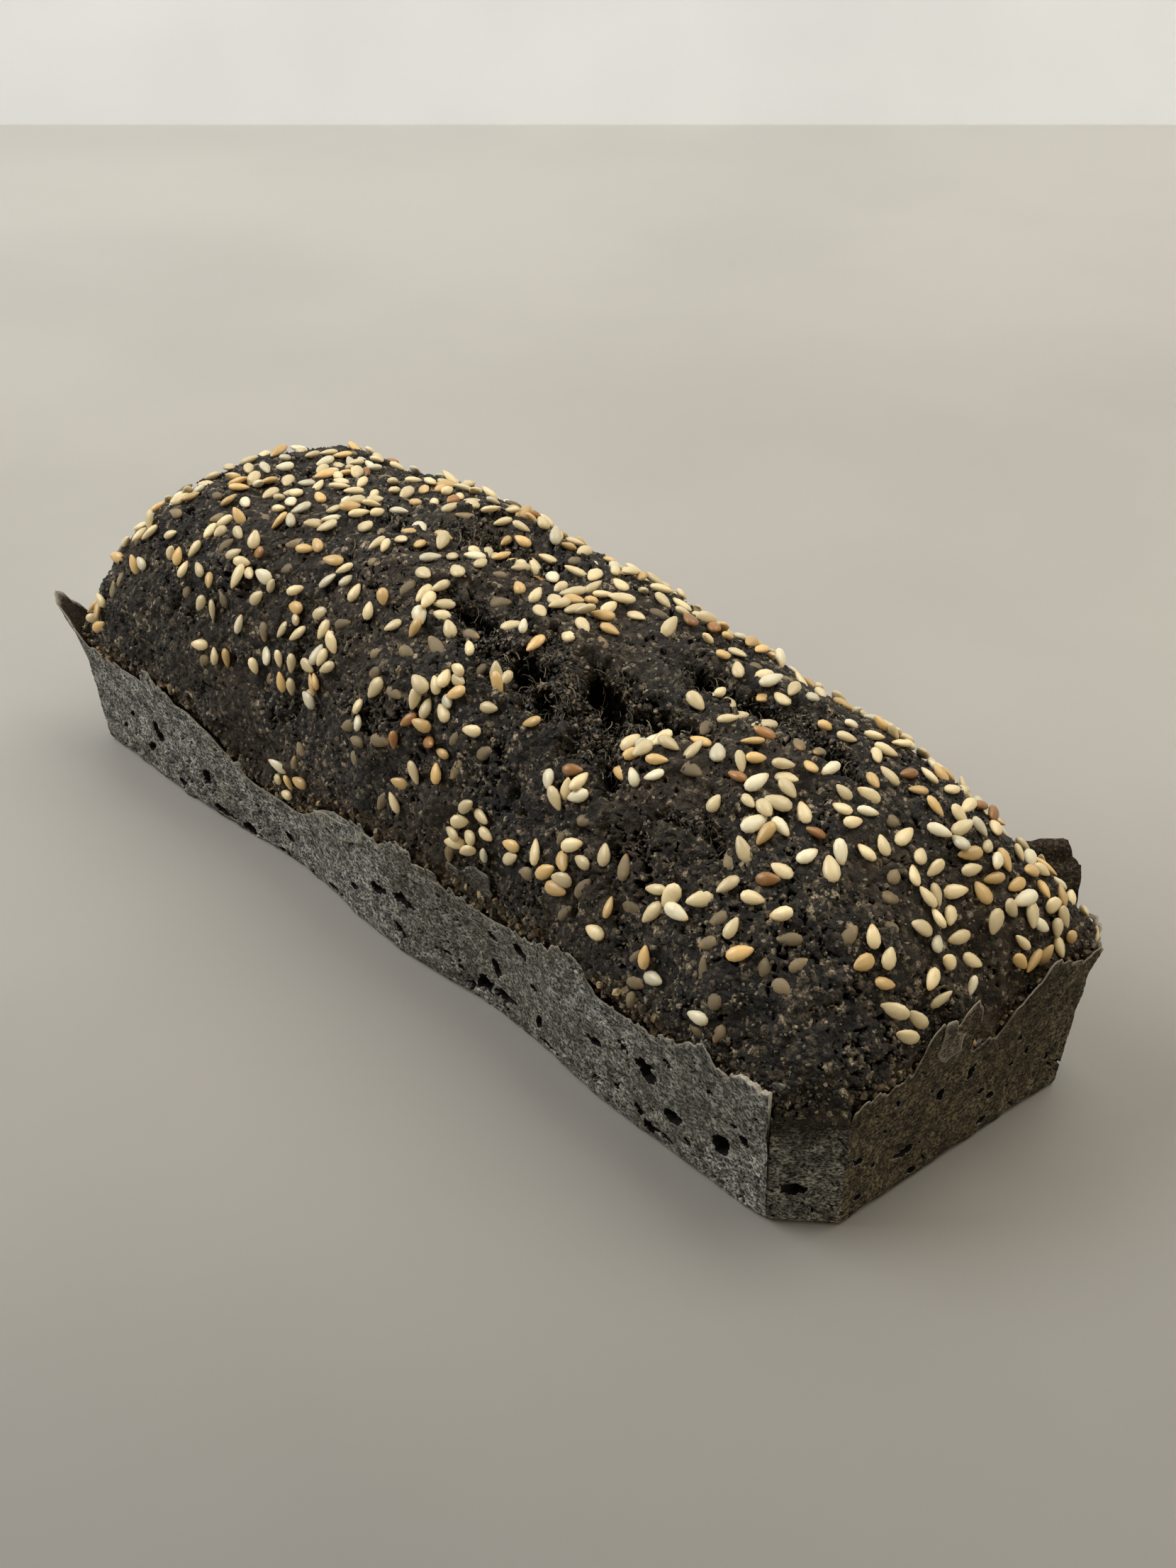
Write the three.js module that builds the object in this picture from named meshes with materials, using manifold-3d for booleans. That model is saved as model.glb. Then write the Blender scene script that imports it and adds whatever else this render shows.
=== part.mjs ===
// A small charcoal loaf, baked in a narrow tin and turned out whole. Its grey sides are flat
// and lean out as the tin did, a ragged thin crust stands up where the dough stuck to the tin,
// the crown is a high dark dome torn open along its top, and sesame seeds lie all over it.
// Millimetres. +X runs along the loaf, +Y across it, +Z up. The origin is the middle of the
// foot. "Near" is the long side at -Y and "right" the end at +X, the two sides best seen.
import * as THREE from "three";
import { mergeVertices } from "three/addons/utils/BufferGeometryUtils.js";
import Module from "manifold-3d";

// The foot of the loaf, the tin's lean, and how far along the walls each corner is cut off
const FOOT_LENGTH = 165;
const FOOT_WIDTH = 52.8;
const WALL_LEAN = 0.1;
const FOOT_ROUNDING = 0.3;
const CORNER_CUTS = [
  { u: 1, v: -1, cut: 6.6 },
  { u: 1, v: 1, cut: 4.8 },
  { u: -1, v: -1, cut: 2.2 },
  { u: -1, v: 1, cut: 3.6 },
];
const WALL_ROWS = [0.72, 0.4, 0.06];

// The crown, from where it leaves the wall to its highest line
const EDGE_HEIGHT = 18.5;
const CROWN_RISE = 33.6;
const CROWN_FALL_TO_RIGHT = 4.8;
const CROWN_FALL_TO_ENDS = 8.2;
const ROUND_ACROSS = 2.8;
const ROUND_ALONG = 8.2;
const CROWN_INSET = 0.2;
const CELLS_ALONG = 48;
const CELLS_ACROSS = 16;
const CROWDING_ALONG = 0.75;
const CROWDING_ACROSS = 0.9;
const LUMPS = { count: 90, spread: 6.5, height: 0.7 };

// The thin crust that stands up along the wall's top, with a groove between it and the crown
const RIM_THICKNESS = 0.8;
const RIM_GAP = 0.6;
const LEAST_RIM = 0.4;
const RIM_FLARE = 0.12;
const RIM_RAGGED = 1.1;
const RIM_LIP = 0.1;

// Where the long walls are pulled in, by how much and over what length
const WALL_HOLLOWS = [
  { side: "near", at: -28, spread: 16, depth: 2.2 },
  { side: "near", at: 22, spread: 13, depth: 2.0 },
  { side: "far", at: -14, spread: 22, depth: 1.8 },
  { side: "far", at: 38, spread: 16, depth: 1.5 },
];

// Where the crown's foot comes down the wall
const EDGE_DIPS = [
  { side: "near", at: -77, spread: 6, depth: 3 },
  { side: "near", at: -33, spread: 15, depth: 6 },
  { side: "right", at: 5, spread: 2.5, depth: 4 },
  { side: "far", at: 12, spread: 18, depth: 4 },
  { side: "left", at: 8, spread: 6, depth: 3 },
];

// The tongues of crust that reach highest, with their rise over the crown's foot
const RIM_TONGUES = [
  { side: "near", at: -85, spread: 2.6, rise: 8 },
  { side: "near", at: -60, spread: 6, rise: 3.4 },
  { side: "near", at: -9, spread: 6, rise: 1.4 },
  { side: "near", at: 5, spread: 2.5, rise: 2.4 },
  { side: "near", at: 41, spread: 4, rise: 3.4 },
  { side: "near", at: 59, spread: 4, rise: 1.8 },
  { side: "near", at: 71, spread: 6.5, rise: 6 },
  { side: "right", at: -13, spread: 5, rise: 2.6 },
  { side: "right", at: -3.5, spread: 3.6, rise: 9.5 },
  { side: "right", at: 12, spread: 3.6, rise: 8 },
  { side: "right", at: 20, spread: 5, rise: 3 },
  { side: "far", at: 71, spread: 5, rise: 11 },
  { side: "far", at: 38, spread: 6, rise: 3.2 },
  { side: "far", at: -4, spread: 8, rise: 4 },
  { side: "far", at: -52, spread: 9, rise: 3 },
  { side: "left", at: -25, spread: 6, rise: 7 },
  { side: "left", at: 3, spread: 4, rise: 3.5 },
  { side: "left", at: 20, spread: 5, rise: 5 },
];

// Swellings of the crown between its tears
const CROWN_SWELLS = [
  { at: -50, spread: 15, rise: -1.4 },
  { at: -14, spread: 13, rise: 0.9 },
  { at: 14, spread: 6, rise: 0.9 },
  { at: 58, spread: 14, rise: 1.5 },
];

// The tears: routes over the crown in x and y, with their greatest width and depth
const TEARS = [
  { route: [[-5, -10.5], [6, -12.5], [15, -11.5], [24, -13], [33, -11.5], [39, -15.5]], width: 8, depth: 6 },
  { route: [[30, 2.5], [41, 3], [49, 6], [55, 3.5], [61, 5]], width: 5.5, depth: 5 },
  { route: [[46, -18.5], [51, -16.5], [57, -16.5]], width: 2.4, depth: 2.5 },
  { route: [[-1, -25.5], [-3, -27], [-5.5, -27.8]], width: 2, depth: 2.2 },
  { route: [[-25, -24], [-22, -24.8], [-19.5, -24.5]], width: 3, depth: 2.6 },
  { route: [[-62, 12], [-50, 14.5], [-41, 12]], width: 4, depth: 3.2 },
];
const TEAR_STATIONS = 9;
const TEAR_END = 0.1;
const TEAR_JAGGED = 0.3;
const TEAR_OVERSHOOT = 3;

// Holes that gas bubbles left in the walls: half their sizes, and how high up they come
const WALL_HOLES = 34;
const HOLE_REACH = { along: [0.9, 2.4], up: [0.5, 1.1], depth: 1.5 };
const HOLE_PLACES = { along: 0.9, up: 0.6 };

// Sesame seeds: true size, pointed at one end, and sunk by this share of their thickness
const SEED = { length: 3.3, width: 2.0, thickness: 1.1 };
const SEED_COUNT = 176;
const SEED_SUNK = 0.2;
const SEED_BOUNDS = { along: 0.96, across: 0.86 };
const SEED_TILT = 0.25;
const SEED_POINT = 0.5;
const SEED_SIDES = 5;
const SEED_RINGS = 4;

const { abs, sign, sqrt, sin, max, min, exp, PI } = Math;

// A repeatable draw from 0 to 1
function seededRandom(seed) {
  let state = seed;
  return () => {
    state = (state + 0x6d2b79f5) | 0;
    let t = Math.imul(state ^ (state >>> 15), 1 | state);
    t = (t + Math.imul(t ^ (t >>> 7), 61 | t)) ^ t;
    return ((t ^ (t >>> 14)) >>> 0) / 4294967296;
  };
}

const bump = (distance, spread) => exp(-((distance / spread) ** 2));

// How much a place belongs to each wall, 1 on it and falling away from it
function nearness(u, v, side) {
  const reach = { near: -v, far: v, right: u, left: -u }[side];
  return max(0, reach) ** 5;
}

// The sum of the listed bumps on the walls that (u, v) is near
function wallSum(list, u, v, key) {
  let sum = 0;
  for (const item of list) {
    const lengthwise = item.side === "near" || item.side === "far";
    const place = lengthwise ? (u * FOOT_LENGTH) / 2 : (v * FOOT_WIDTH) / 2;
    sum += item[key] * bump(place - item.at, item.spread) * nearness(u, v, item.side);
  }
  return sum;
}

// Plan position of (u, v), each from -1 to 1, at height z and this far inside the outer wall
function planPoint(u, v, z, inset) {
  const halfLength = FOOT_LENGTH / 2 + WALL_LEAN * z - inset;
  const halfWidth = FOOT_WIDTH / 2 + WALL_LEAN * z - inset;
  const { cut } = CORNER_CUTS.find((corner) => corner.u * u >= 0 && corner.v * v >= 0);
  const over = max(0, cut - (1 - abs(u)) * halfLength - (1 - abs(v)) * halfWidth) / 2;
  const pulledIn = wallSum(WALL_HOLLOWS, u, v, "depth") + over;
  return [u * halfLength - sign(u) * over, v * halfWidth - sign(v) * pulledIn];
}

// Height at which the crown leaves the wall
function edgeHeight(u, v) {
  return EDGE_HEIGHT - wallSum(EDGE_DIPS, u, v, "depth");
}

// Rise of the standing crust over the crown's foot. It stops short at the near right facet.
function rimRise(u, v, ragged) {
  const onFacet = (1 - u) * FOOT_LENGTH + (1 + v) * FOOT_WIDTH < 2 * CORNER_CUTS[0].cut - 1;
  const rise = wallSum(RIM_TONGUES, u, v, "rise") + RIM_RAGGED * (2 * ragged - 1);
  return onFacet ? LEAST_RIM : max(LEAST_RIM, rise);
}

// Seeded lumps and dents all over the crown
const lumps = (() => {
  const random = seededRandom(23);
  return Array.from({ length: LUMPS.count }, () => ({
    x: FOOT_LENGTH * (random() - 0.5),
    y: FOOT_WIDTH * (random() - 0.5),
    height: LUMPS.height * (2 * random() - 1),
  }));
})();

// Height of the dome over (u, v)
function crownHeight(u, v) {
  const [x, y] = [(u * FOOT_LENGTH) / 2, (v * FOOT_WIDTH) / 2];
  const across = sqrt(max(0, 1 - abs(v) ** ROUND_ACROSS));
  const along = sqrt(max(0, 1 - abs(u) ** ROUND_ALONG));
  let rise = CROWN_RISE - CROWN_FALL_TO_RIGHT * u - CROWN_FALL_TO_ENDS * u * u;
  for (const swell of CROWN_SWELLS) rise += swell.rise * bump(x - swell.at, swell.spread);
  for (const lump of lumps) {
    rise += lump.height * bump(x - lump.x, LUMPS.spread) * bump(y - lump.y, LUMPS.spread);
  }
  return edgeHeight(u, v) + rise * across * along;
}

// A point on the crown's skin, which bulges over the groove behind the rim
function crownPoint(u, v) {
  const border = max(abs(u), abs(v)) === 1;
  const inset = border ? RIM_THICKNESS + RIM_GAP : CROWN_INSET;
  const [x, y] = planPoint(u, v, EDGE_HEIGHT, inset);
  return new THREE.Vector3(x, y, crownHeight(u, v));
}

function crownNormal(u, v) {
  const step = 0.01;
  const along = crownPoint(u + step, v).sub(crownPoint(u - step, v));
  const across = crownPoint(u, v + step).sub(crownPoint(u, v - step));
  return along.cross(across).normalize();
}

// Grid lines crowd towards the walls, where the dome is steepest. The line nearest to each
// fold, where a wall meets a corner's facet, moves onto it.
function gridLines(cells, crowding, folds) {
  const lines = Array.from({ length: cells + 1 }, (_, i) => {
    const t = (2 * i) / cells - 1;
    return (1 - crowding) * t + crowding * sin((PI / 2) * t);
  });
  for (const fold of folds) {
    const inner = lines.slice(1, -1);
    const nearest = inner.reduce((a, b) => (abs(b - fold) < abs(a - fold) ? b : a));
    lines[lines.indexOf(nearest)] = fold;
  }
  return lines;
}

// The loaf without its tears, holes and seeds, as one closed skin: the crown's grid, then
// rings round its border over the rim and down the wall, and the flat foot.
function loafBody() {
  const random = seededRandom(11);
  const uFolds = CORNER_CUTS.map(({ u, cut }) => u * (1 - (2 * cut) / FOOT_LENGTH));
  const vFolds = CORNER_CUTS.map(({ v, cut }) => v * (1 - (2 * cut) / FOOT_WIDTH));
  const us = gridLines(CELLS_ALONG, CROWDING_ALONG, uFolds);
  const vs = gridLines(CELLS_ACROSS, CROWDING_ACROSS, vFolds);
  const points = [];
  const faces = [];
  const gridIndex = (i, j) => i * (CELLS_ACROSS + 1) + j;
  for (let i = 0; i <= CELLS_ALONG; i++) {
    for (let j = 0; j <= CELLS_ACROSS; j++) {
      points.push(...crownPoint(us[i], vs[j]));
    }
  }
  for (let i = 0; i < CELLS_ALONG; i++) {
    for (let j = 0; j < CELLS_ACROSS; j++) {
      const [a, b] = [gridIndex(i, j), gridIndex(i + 1, j)];
      const [c, d] = [gridIndex(i + 1, j + 1), gridIndex(i, j + 1)];
      faces.push(a, b, c, a, c, d);
    }
  }

  const border = [];
  for (let i = 0; i < CELLS_ALONG; i++) border.push([i, 0]);
  for (let j = 0; j < CELLS_ACROSS; j++) border.push([CELLS_ALONG, j]);
  for (let i = CELLS_ALONG; i > 0; i--) border.push([i, CELLS_ACROSS]);
  for (let j = CELLS_ACROSS; j > 0; j--) border.push([0, j]);

  let ring = border.map(([i, j]) => gridIndex(i, j));
  const rises = border.map(([i, j]) => rimRise(us[i], vs[j], random()));
  const addRing = (heightOf, insetOf) => {
    const next = border.map(([i, j], k) => {
      const z = heightOf(us[i], vs[j], rises[k]);
      points.push(...planPoint(us[i], vs[j], z, insetOf(rises[k])), z);
      return points.length / 3 - 1;
    });
    for (let k = 0; k < border.length; k++) {
      const m = (k + 1) % border.length;
      faces.push(ring[k], next[k], next[m], ring[k], next[m], ring[m]);
    }
    ring = next;
  };
  addRing((u, v) => edgeHeight(u, v), () => RIM_THICKNESS);
  addRing((u, v, rise) => edgeHeight(u, v) + rise - RIM_LIP, (rise) => RIM_THICKNESS - RIM_FLARE * rise);
  addRing((u, v, rise) => edgeHeight(u, v) + rise, (rise) => -RIM_FLARE * rise);
  addRing((u, v) => edgeHeight(u, v), () => 0);
  for (const share of WALL_ROWS) {
    addRing((u, v) => share * edgeHeight(u, v), () => 0);
  }
  addRing(() => 0, () => FOOT_ROUNDING);
  points.push(0, 0, 0);
  const centre = points.length / 3 - 1;
  for (let k = 0; k < ring.length; k++) {
    faces.push(centre, ring[(k + 1) % ring.length], ring[k]);
  }
  return closedGeometry(points, faces);
}

function closedGeometry(points, faces) {
  const geometry = new THREE.BufferGeometry();
  geometry.setAttribute("position", new THREE.Float32BufferAttribute(points, 3));
  geometry.setIndex(faces);
  return geometry;
}

// A tear's cutter: a jagged wedge along its route, open to above and pointed at both ends
function tearWedge({ route, width, depth }, random) {
  const curve = new THREE.CatmullRomCurve3(route.map(([x, y]) => new THREE.Vector3(x, y, 0)));
  const points = [];
  const faces = [];
  const surfaceAt = (place) => {
    const u = (2 * place.x) / FOOT_LENGTH;
    const v = (2 * place.y) / (FOOT_WIDTH + 2 * WALL_LEAN * EDGE_HEIGHT - 2 * (RIM_THICKNESS + RIM_GAP));
    return [crownPoint(u, v), crownNormal(u, v)];
  };
  for (let k = 0; k < TEAR_STATIONS; k++) {
    const t = k / (TEAR_STATIONS - 1);
    const fullness = TEAR_END + (1 - TEAR_END) * sqrt(max(0, sin(PI * t)));
    const [foot, normal] = surfaceAt(curve.getPoint(t));
    const aside = new THREE.Vector3().crossVectors(normal, curve.getTangent(t)).normalize();
    const half = (width / 2) * fullness * (1 + TEAR_JAGGED * (2 * random() - 1));
    const low = depth * fullness * (1 + TEAR_JAGGED * (2 * random() - 1));
    const above = foot.clone().addScaledVector(normal, TEAR_OVERSHOOT);
    points.push(...above.clone().addScaledVector(aside, half));
    points.push(...above.clone().addScaledVector(aside, -half));
    points.push(...foot.clone().addScaledVector(normal, -low));
    if (k > 0) {
      const [a, b] = [3 * (k - 1), 3 * k];
      for (let side = 0; side < 3; side++) {
        const next = (side + 1) % 3;
        faces.push(a + side, a + next, b + next, a + side, b + next, b + side);
      }
    }
  }
  const last = 3 * (TEAR_STATIONS - 1);
  faces.push(0, 2, 1, last, last + 1, last + 2);
  return closedGeometry(points, faces);
}

// A bubble hole's cutter, pushed into the wall at a drawn place
function wallHole(random) {
  const onLongWall = random() < FOOT_LENGTH / (FOOT_LENGTH + FOOT_WIDTH);
  const end = random() < 0.5 ? -1 : 1;
  const along = HOLE_PLACES.along * (2 * random() - 1);
  const [u, v] = onLongWall ? [along, end] : [end, along];
  const z = EDGE_HEIGHT * HOLE_PLACES.up * random();
  const [x, y] = planPoint(u, v, z, 0);
  const reach = ([low, high]) => low + (high - low) * random();
  const geometry = new THREE.IcosahedronGeometry(1, 0);
  geometry.scale(reach(HOLE_REACH.along), HOLE_REACH.depth, reach(HOLE_REACH.up));
  if (!onLongWall) geometry.rotateZ(PI / 2);
  geometry.translate(x, y, z);
  return geometry;
}

// A sesame seed: a flattened drop, one end pointed
function seedShape() {
  const geometry = new THREE.SphereGeometry(0.5, SEED_SIDES, SEED_RINGS);
  geometry.rotateZ(PI / 2);
  const position = geometry.getAttribute("position");
  for (let i = 0; i < position.count; i++) {
    const x = position.getX(i);
    const girth = 1.15 - SEED_POINT * (x + 0.5);
    position.setX(i, x * SEED.length);
    position.setY(i, position.getY(i) * SEED.width * girth);
    position.setZ(i, position.getZ(i) * SEED.thickness * girth);
  }
  return geometry;
}

// Seeds lie thickest along the top and over the left end, and thin out down the flanks
function seedChance(u, v) {
  const [x, y] = [(u * FOOT_LENGTH) / 2, (v * FOOT_WIDTH) / 2];
  const top = 0.5 + 0.5 * (1 - abs(v) ** 3);
  const leftEnd = (1 + max(0, -u)) / 2;
  const flank = v < -0.45 && u > 0.05 ? 0.5 : 1;
  const torn = ({ route, width }) =>
    route.some((place) => abs(x - place[0]) < width && abs(y - place[1]) < width / 2);
  return TEARS.some(torn) ? 0 : top * leftEnd * flank;
}

// The places and turns of the seeds, none nearer to another than a seed's width
function scatteredSeeds() {
  const random = seededRandom(5);
  const seeds = [];
  const shape = seedShape();
  while (seeds.length < SEED_COUNT) {
    const u = SEED_BOUNDS.along * (2 * random() - 1);
    const v = sin((PI / 2) * SEED_BOUNDS.across * (2 * random() - 1));
    const turn = 2 * PI * random();
    const tilt = SEED_TILT * (2 * random() - 1);
    const keep = random() < seedChance(u, v);
    const foot = crownPoint(u, v);
    const crowded = seeds.some((other) => other.foot.distanceTo(foot) < SEED.width);
    if (!keep || crowded) continue;
    const normal = crownNormal(u, v);
    const upright = new THREE.Quaternion().setFromUnitVectors(new THREE.Vector3(0, 0, 1), normal);
    const spin = new THREE.Quaternion().setFromEuler(new THREE.Euler(tilt, 0, turn));
    const centre = foot.clone().addScaledVector(normal, SEED.thickness * (0.5 - SEED_SUNK));
    const place = new THREE.Matrix4().compose(centre, upright.multiply(spin), new THREE.Vector3(1, 1, 1));
    seeds.push({ foot, geometry: shape.clone().applyMatrix4(place) });
  }
  return seeds.map((seed) => seed.geometry);
}

const wasm = await Module();
wasm.setup();

// A solid for cutting and joining, from a closed geometry
function solidFrom(geometry) {
  const bare = geometry.clone();
  bare.deleteAttribute("normal");
  bare.deleteAttribute("uv");
  const merged = mergeVertices(bare, 1e-4);
  return new wasm.Manifold(
    new wasm.Mesh({
      numProp: 3,
      vertProperties: new Float32Array(merged.getAttribute("position").array),
      triVerts: new Uint32Array(merged.index.array),
    }),
  );
}

function geometryFrom(solid) {
  const { vertProperties, triVerts, numProp } = solid.getMesh();
  const points = [];
  for (let i = 0; i < vertProperties.length; i += numProp) {
    points.push(vertProperties[i], vertProperties[i + 1], vertProperties[i + 2]);
  }
  return closedGeometry(points, Array.from(triVerts));
}

// The whole loaf: the body, cut by its tears and bubble holes, with the seeds fused on
function seededLoaf() {
  const tearDraw = seededRandom(3);
  const holeDraw = seededRandom(17);
  const cutters = [
    ...TEARS.map((tear) => tearWedge(tear, tearDraw)),
    ...Array.from({ length: WALL_HOLES }, () => wallHole(holeDraw)),
  ].map(solidFrom);
  const carved = solidFrom(loafBody()).subtract(wasm.Manifold.union(cutters));
  const seeds = wasm.Manifold.union(scatteredSeeds().map(solidFrom));
  const joined = carved.add(seeds);
  const largest = joined.decompose().sort((a, b) => b.volume() - a.volume())[0];
  return geometryFrom(largest.simplify(0.01));
}

const geometry = seededLoaf();
geometry.computeVertexNormals();
const loaf = new THREE.Mesh(
  geometry,
  new THREE.MeshStandardMaterial({ color: 0x2b2927, roughness: 0.85, metalness: 0 }),
);
loaf.name = "loaf";

const part = new THREE.Group();
part.add(loaf);
export default part;
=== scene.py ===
import math

import bmesh
import bpy
import numpy as np
from mathutils import Euler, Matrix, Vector
from mathutils.bvhtree import BVHTree


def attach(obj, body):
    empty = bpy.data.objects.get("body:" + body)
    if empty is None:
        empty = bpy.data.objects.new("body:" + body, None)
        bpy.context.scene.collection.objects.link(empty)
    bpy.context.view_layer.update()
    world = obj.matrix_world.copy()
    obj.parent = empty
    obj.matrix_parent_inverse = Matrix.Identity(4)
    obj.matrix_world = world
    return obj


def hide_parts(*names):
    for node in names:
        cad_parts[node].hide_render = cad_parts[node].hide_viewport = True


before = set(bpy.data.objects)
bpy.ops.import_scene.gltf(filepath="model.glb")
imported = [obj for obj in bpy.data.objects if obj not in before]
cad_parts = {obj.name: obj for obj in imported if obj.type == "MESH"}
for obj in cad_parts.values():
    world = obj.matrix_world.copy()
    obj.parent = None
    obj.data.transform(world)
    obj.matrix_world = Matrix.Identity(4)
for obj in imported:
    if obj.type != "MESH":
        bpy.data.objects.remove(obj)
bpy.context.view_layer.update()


# The crown: charcoal dough that rose over the tin as one high dome and tore open along its
# top in the oven. Its skin is gritty with bran, pitted by burst bubbles, and browner where it
# meets the tin. It is shaped in millimetres, as four lengths that butt together.
MM = 0.001
FOOT_LENGTH = 165.0
FOOT_WIDTH = 52.8
WALL_LEAN = 0.1
# A corner cut is its end, its side and its size. A hollow of the wall or a dip of the edge is
# its side, its place along it, its spread and its depth, and a swell is the last three.
CORNER_CUTS = [(1, -1, 6.6), (1, 1, 4.8), (-1, -1, 2.2), (-1, 1, 3.6)]
WALL_HOLLOWS = [
    ("near", -28, 16, 2.2),
    ("near", 22, 13, 2.0),
    ("far", -14, 22, 1.8),
    ("far", 38, 16, 1.5),
]
EDGE_HEIGHT = 18.5
EDGE_DIPS = [
    ("near", -77, 6, 2.4),
    ("near", -36, 8, 6.2),
    ("near", -24, 8, 6.4),
    ("near", 20, 9, 1.9),
    ("right", 3.2, 3.5, 3.2),
    ("far", 12, 18, 4),
    ("left", 8, 6, 3),
]
CROWN_RISE = 33.6
CROWN_FALL_TO_RIGHT = 4.8
CROWN_FALL_TO_ENDS = 8.2
ROUND_ACROSS = 2.8
ROUND_ALONG = 8.2
CROWN_SWELLS = [(-50, 15, -1.4), (-14, 13, 0.9), (14, 6, 0.9), (58, 14, 1.5)]
LUMPS = {"count": 90, "spread": 6.5, "height": 0.7}
CROWN_INSET = 0.2
GROOVE_INSET = 1.5
FACET_OVERHANG = 0.15
GROOVE_FADE = 1.4
CROWN_CELLS = (792, 452)
PROFILE_STEPS = 6001
CROWN_LENGTHS = 4
CROWN_SKIRT = [(0.0, 0.0), (-1.0, 1.7), (-3.0, 1.9)]
WELD = 0.002
# Where the crown is torn: the route of each tear in plan, its width and its depth. The first
# ones are broad crumbly patches, and the others are the holes, slits and cracks in and by them.
TORN_PATCHES = [
    ([(-6, -9.5), (4, -11), (13, -12.5), (22, -12.5), (30, -11), (38, -8), (44, -6)], 13.0, 2.6),
    ([(27, 2.5), (38, 4), (48, 6), (60, 5)], 8.0, 2.4),
    ([(-28, 0), (-20, 0), (-11, 3.5), (-2, 3.6), (6, 2)], 9.0, 2.0),
    ([(-62, 12), (-50, 14.5), (-41, 12)], 5.0, 2.4),
    ([(44, -16), (52, -16), (60, -17)], 7.0, 1.0),
]
TORN_HOLES = [
    ([(-2.4, -11.2), (2, -11.4), (7.5, -10.9)], 5.6, 5.5),
    ([(12.6, -12.2), (15, -13.6), (18.4, -17)], 6.6, 7.5),
    ([(19.2, -15), (24.6, -16.8)], 5.2, 6.5),
    ([(23, -6.8), (26, -8.8), (29, -10.4), (34, -14.4)], 5.4, 7.5),
    ([(31.2, -10.9), (35, -8.3), (38.6, -6.6), (44, -4.8)], 4.4, 6.5),
    ([(35.2, -15.8), (37.6, -19.4)], 3.6, 5.0),
    ([(30.4, 2.6), (35, 3.3), (41, 4.2), (46.6, 6.1)], 6.0, 8.0),
    ([(47, 5.8), (53.6, 4.6), (60.4, 3.4)], 5.4, 7.5),
    ([(46, -19), (49, -17.8), (52.8, -17.4)], 2.0, 3.0),
    ([(51.4, -15), (54.4, -16.6), (58.2, -18)], 1.8, 3.0),
    ([(22.2, -22), (24.6, -23.2), (27.4, -23.9)], 1.5, 2.4),
    ([(40, -25.4), (40.4, -26.6), (41, -27)], 1.5, 2.2),
    ([(-25.8, -22.2), (-24, -23.8)], 2.4, 3.4),
    ([(-29.5, -25), (-25.2, -24.6), (-21, -23.6)], 1.6, 1.8),
    ([(-53, -23.4), (-56.4, -26)], 1.4, 2.0),
    ([(-27, -10.4), (-23, -15.2)], 1.6, 2.2),
    ([(-22.5, -1.5), (-17, 1.2)], 2.6, 3.2),
    ([(-13, 3.2), (-8, 4.2)], 2.4, 3.2),
    ([(-4, 3.4), (0.5, 3.8)], 2.2, 2.8),
]
PATCH_LIP = 0.25
HOLE_LIP = 0.4
TEAR_RAISED = 0.7
TEAR_STEPS = 60
GRAIN_DRIFT = 0.7
GRAIN_SIZE = 0.75
MEAL_SIZE = 1.1


def drawn(seed, count):
    """Repeatable draws from 0 to 1, in the order in which the solid's own lumps were drawn"""
    state = seed
    draws = []
    for _ in range(count):
        state = (state + 0x6D2B79F5) & 0xFFFFFFFF
        t = ((state ^ (state >> 15)) * (1 | state)) & 0xFFFFFFFF
        t = ((t + (((t ^ (t >> 7)) * (61 | t)) & 0xFFFFFFFF)) & 0xFFFFFFFF) ^ t
        draws.append(((t ^ (t >> 14)) & 0xFFFFFFFF) / 4294967296)
    return draws


def scattered(cells):
    """A repeatable value from -1 to 1 for each cell of a lattice"""
    mix = cells[..., 0] * 73856093 ^ cells[..., 1] * 19349663 ^ cells[..., 2] * 83492791
    mix = ((mix ^ (mix >> 13)) & 0xFFFFFFFF) * 1274126177 & 0xFFFFFFFF
    return (mix ^ (mix >> 16)) / 2147483647.5 - 1


def rough(points, size, octaves=3, seed=0):
    """Fractal noise, about -1 to 1, whose largest features have this size in millimetres"""
    total = np.zeros(points.shape[:-1])
    for octave in range(octaves):
        spots = points * (2 ** octave / size) + 13.7 * (seed + octave)
        low = np.floor(spots).astype(np.int64)
        part = spots - low
        part = part * part * (3 - 2 * part)
        for corner in np.ndindex(2, 2, 2):
            share = np.prod(np.where(corner, part, 1 - part), axis=-1)
            total += share * scattered(low + corner) / 2 ** octave
    return total


def bump(distance, spread):
    return np.exp(-((distance / spread) ** 2))


def smooth_step(low, high, value):
    t = np.clip((value - low) / (high - low), 0, 1)
    return t * t * (3 - 2 * t)


def unit(vectors):
    return vectors / np.maximum(np.linalg.norm(vectors, axis=-1, keepdims=True), 1e-9)


def wall_sum(listed, u, v):
    """The sum of the listed bumps on the walls that (u, v) is near"""
    total = np.zeros(np.broadcast(u, v).shape)
    for side, at, spread, amount in listed:
        reach = {"near": -v, "far": v, "right": u, "left": -u}[side]
        place = u * FOOT_LENGTH / 2 if side in ("near", "far") else v * FOOT_WIDTH / 2
        total += amount * bump(place - at, spread) * np.maximum(0, reach) ** 5
    return total


def corner_cut(u, v, half_length, half_width):
    """How far (u, v) is drawn in, along and across alike, where its corner is cut off"""
    over = np.zeros(np.broadcast(u, v).shape)
    for corner_u, corner_v, cut in CORNER_CUTS:
        here = (corner_u * u >= 0) & (corner_v * v >= 0)
        short = cut - (1 - np.abs(u)) * half_length - (1 - np.abs(v)) * half_width
        over = np.where(here, np.maximum(0, short) / 2, over)
    return over


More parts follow.
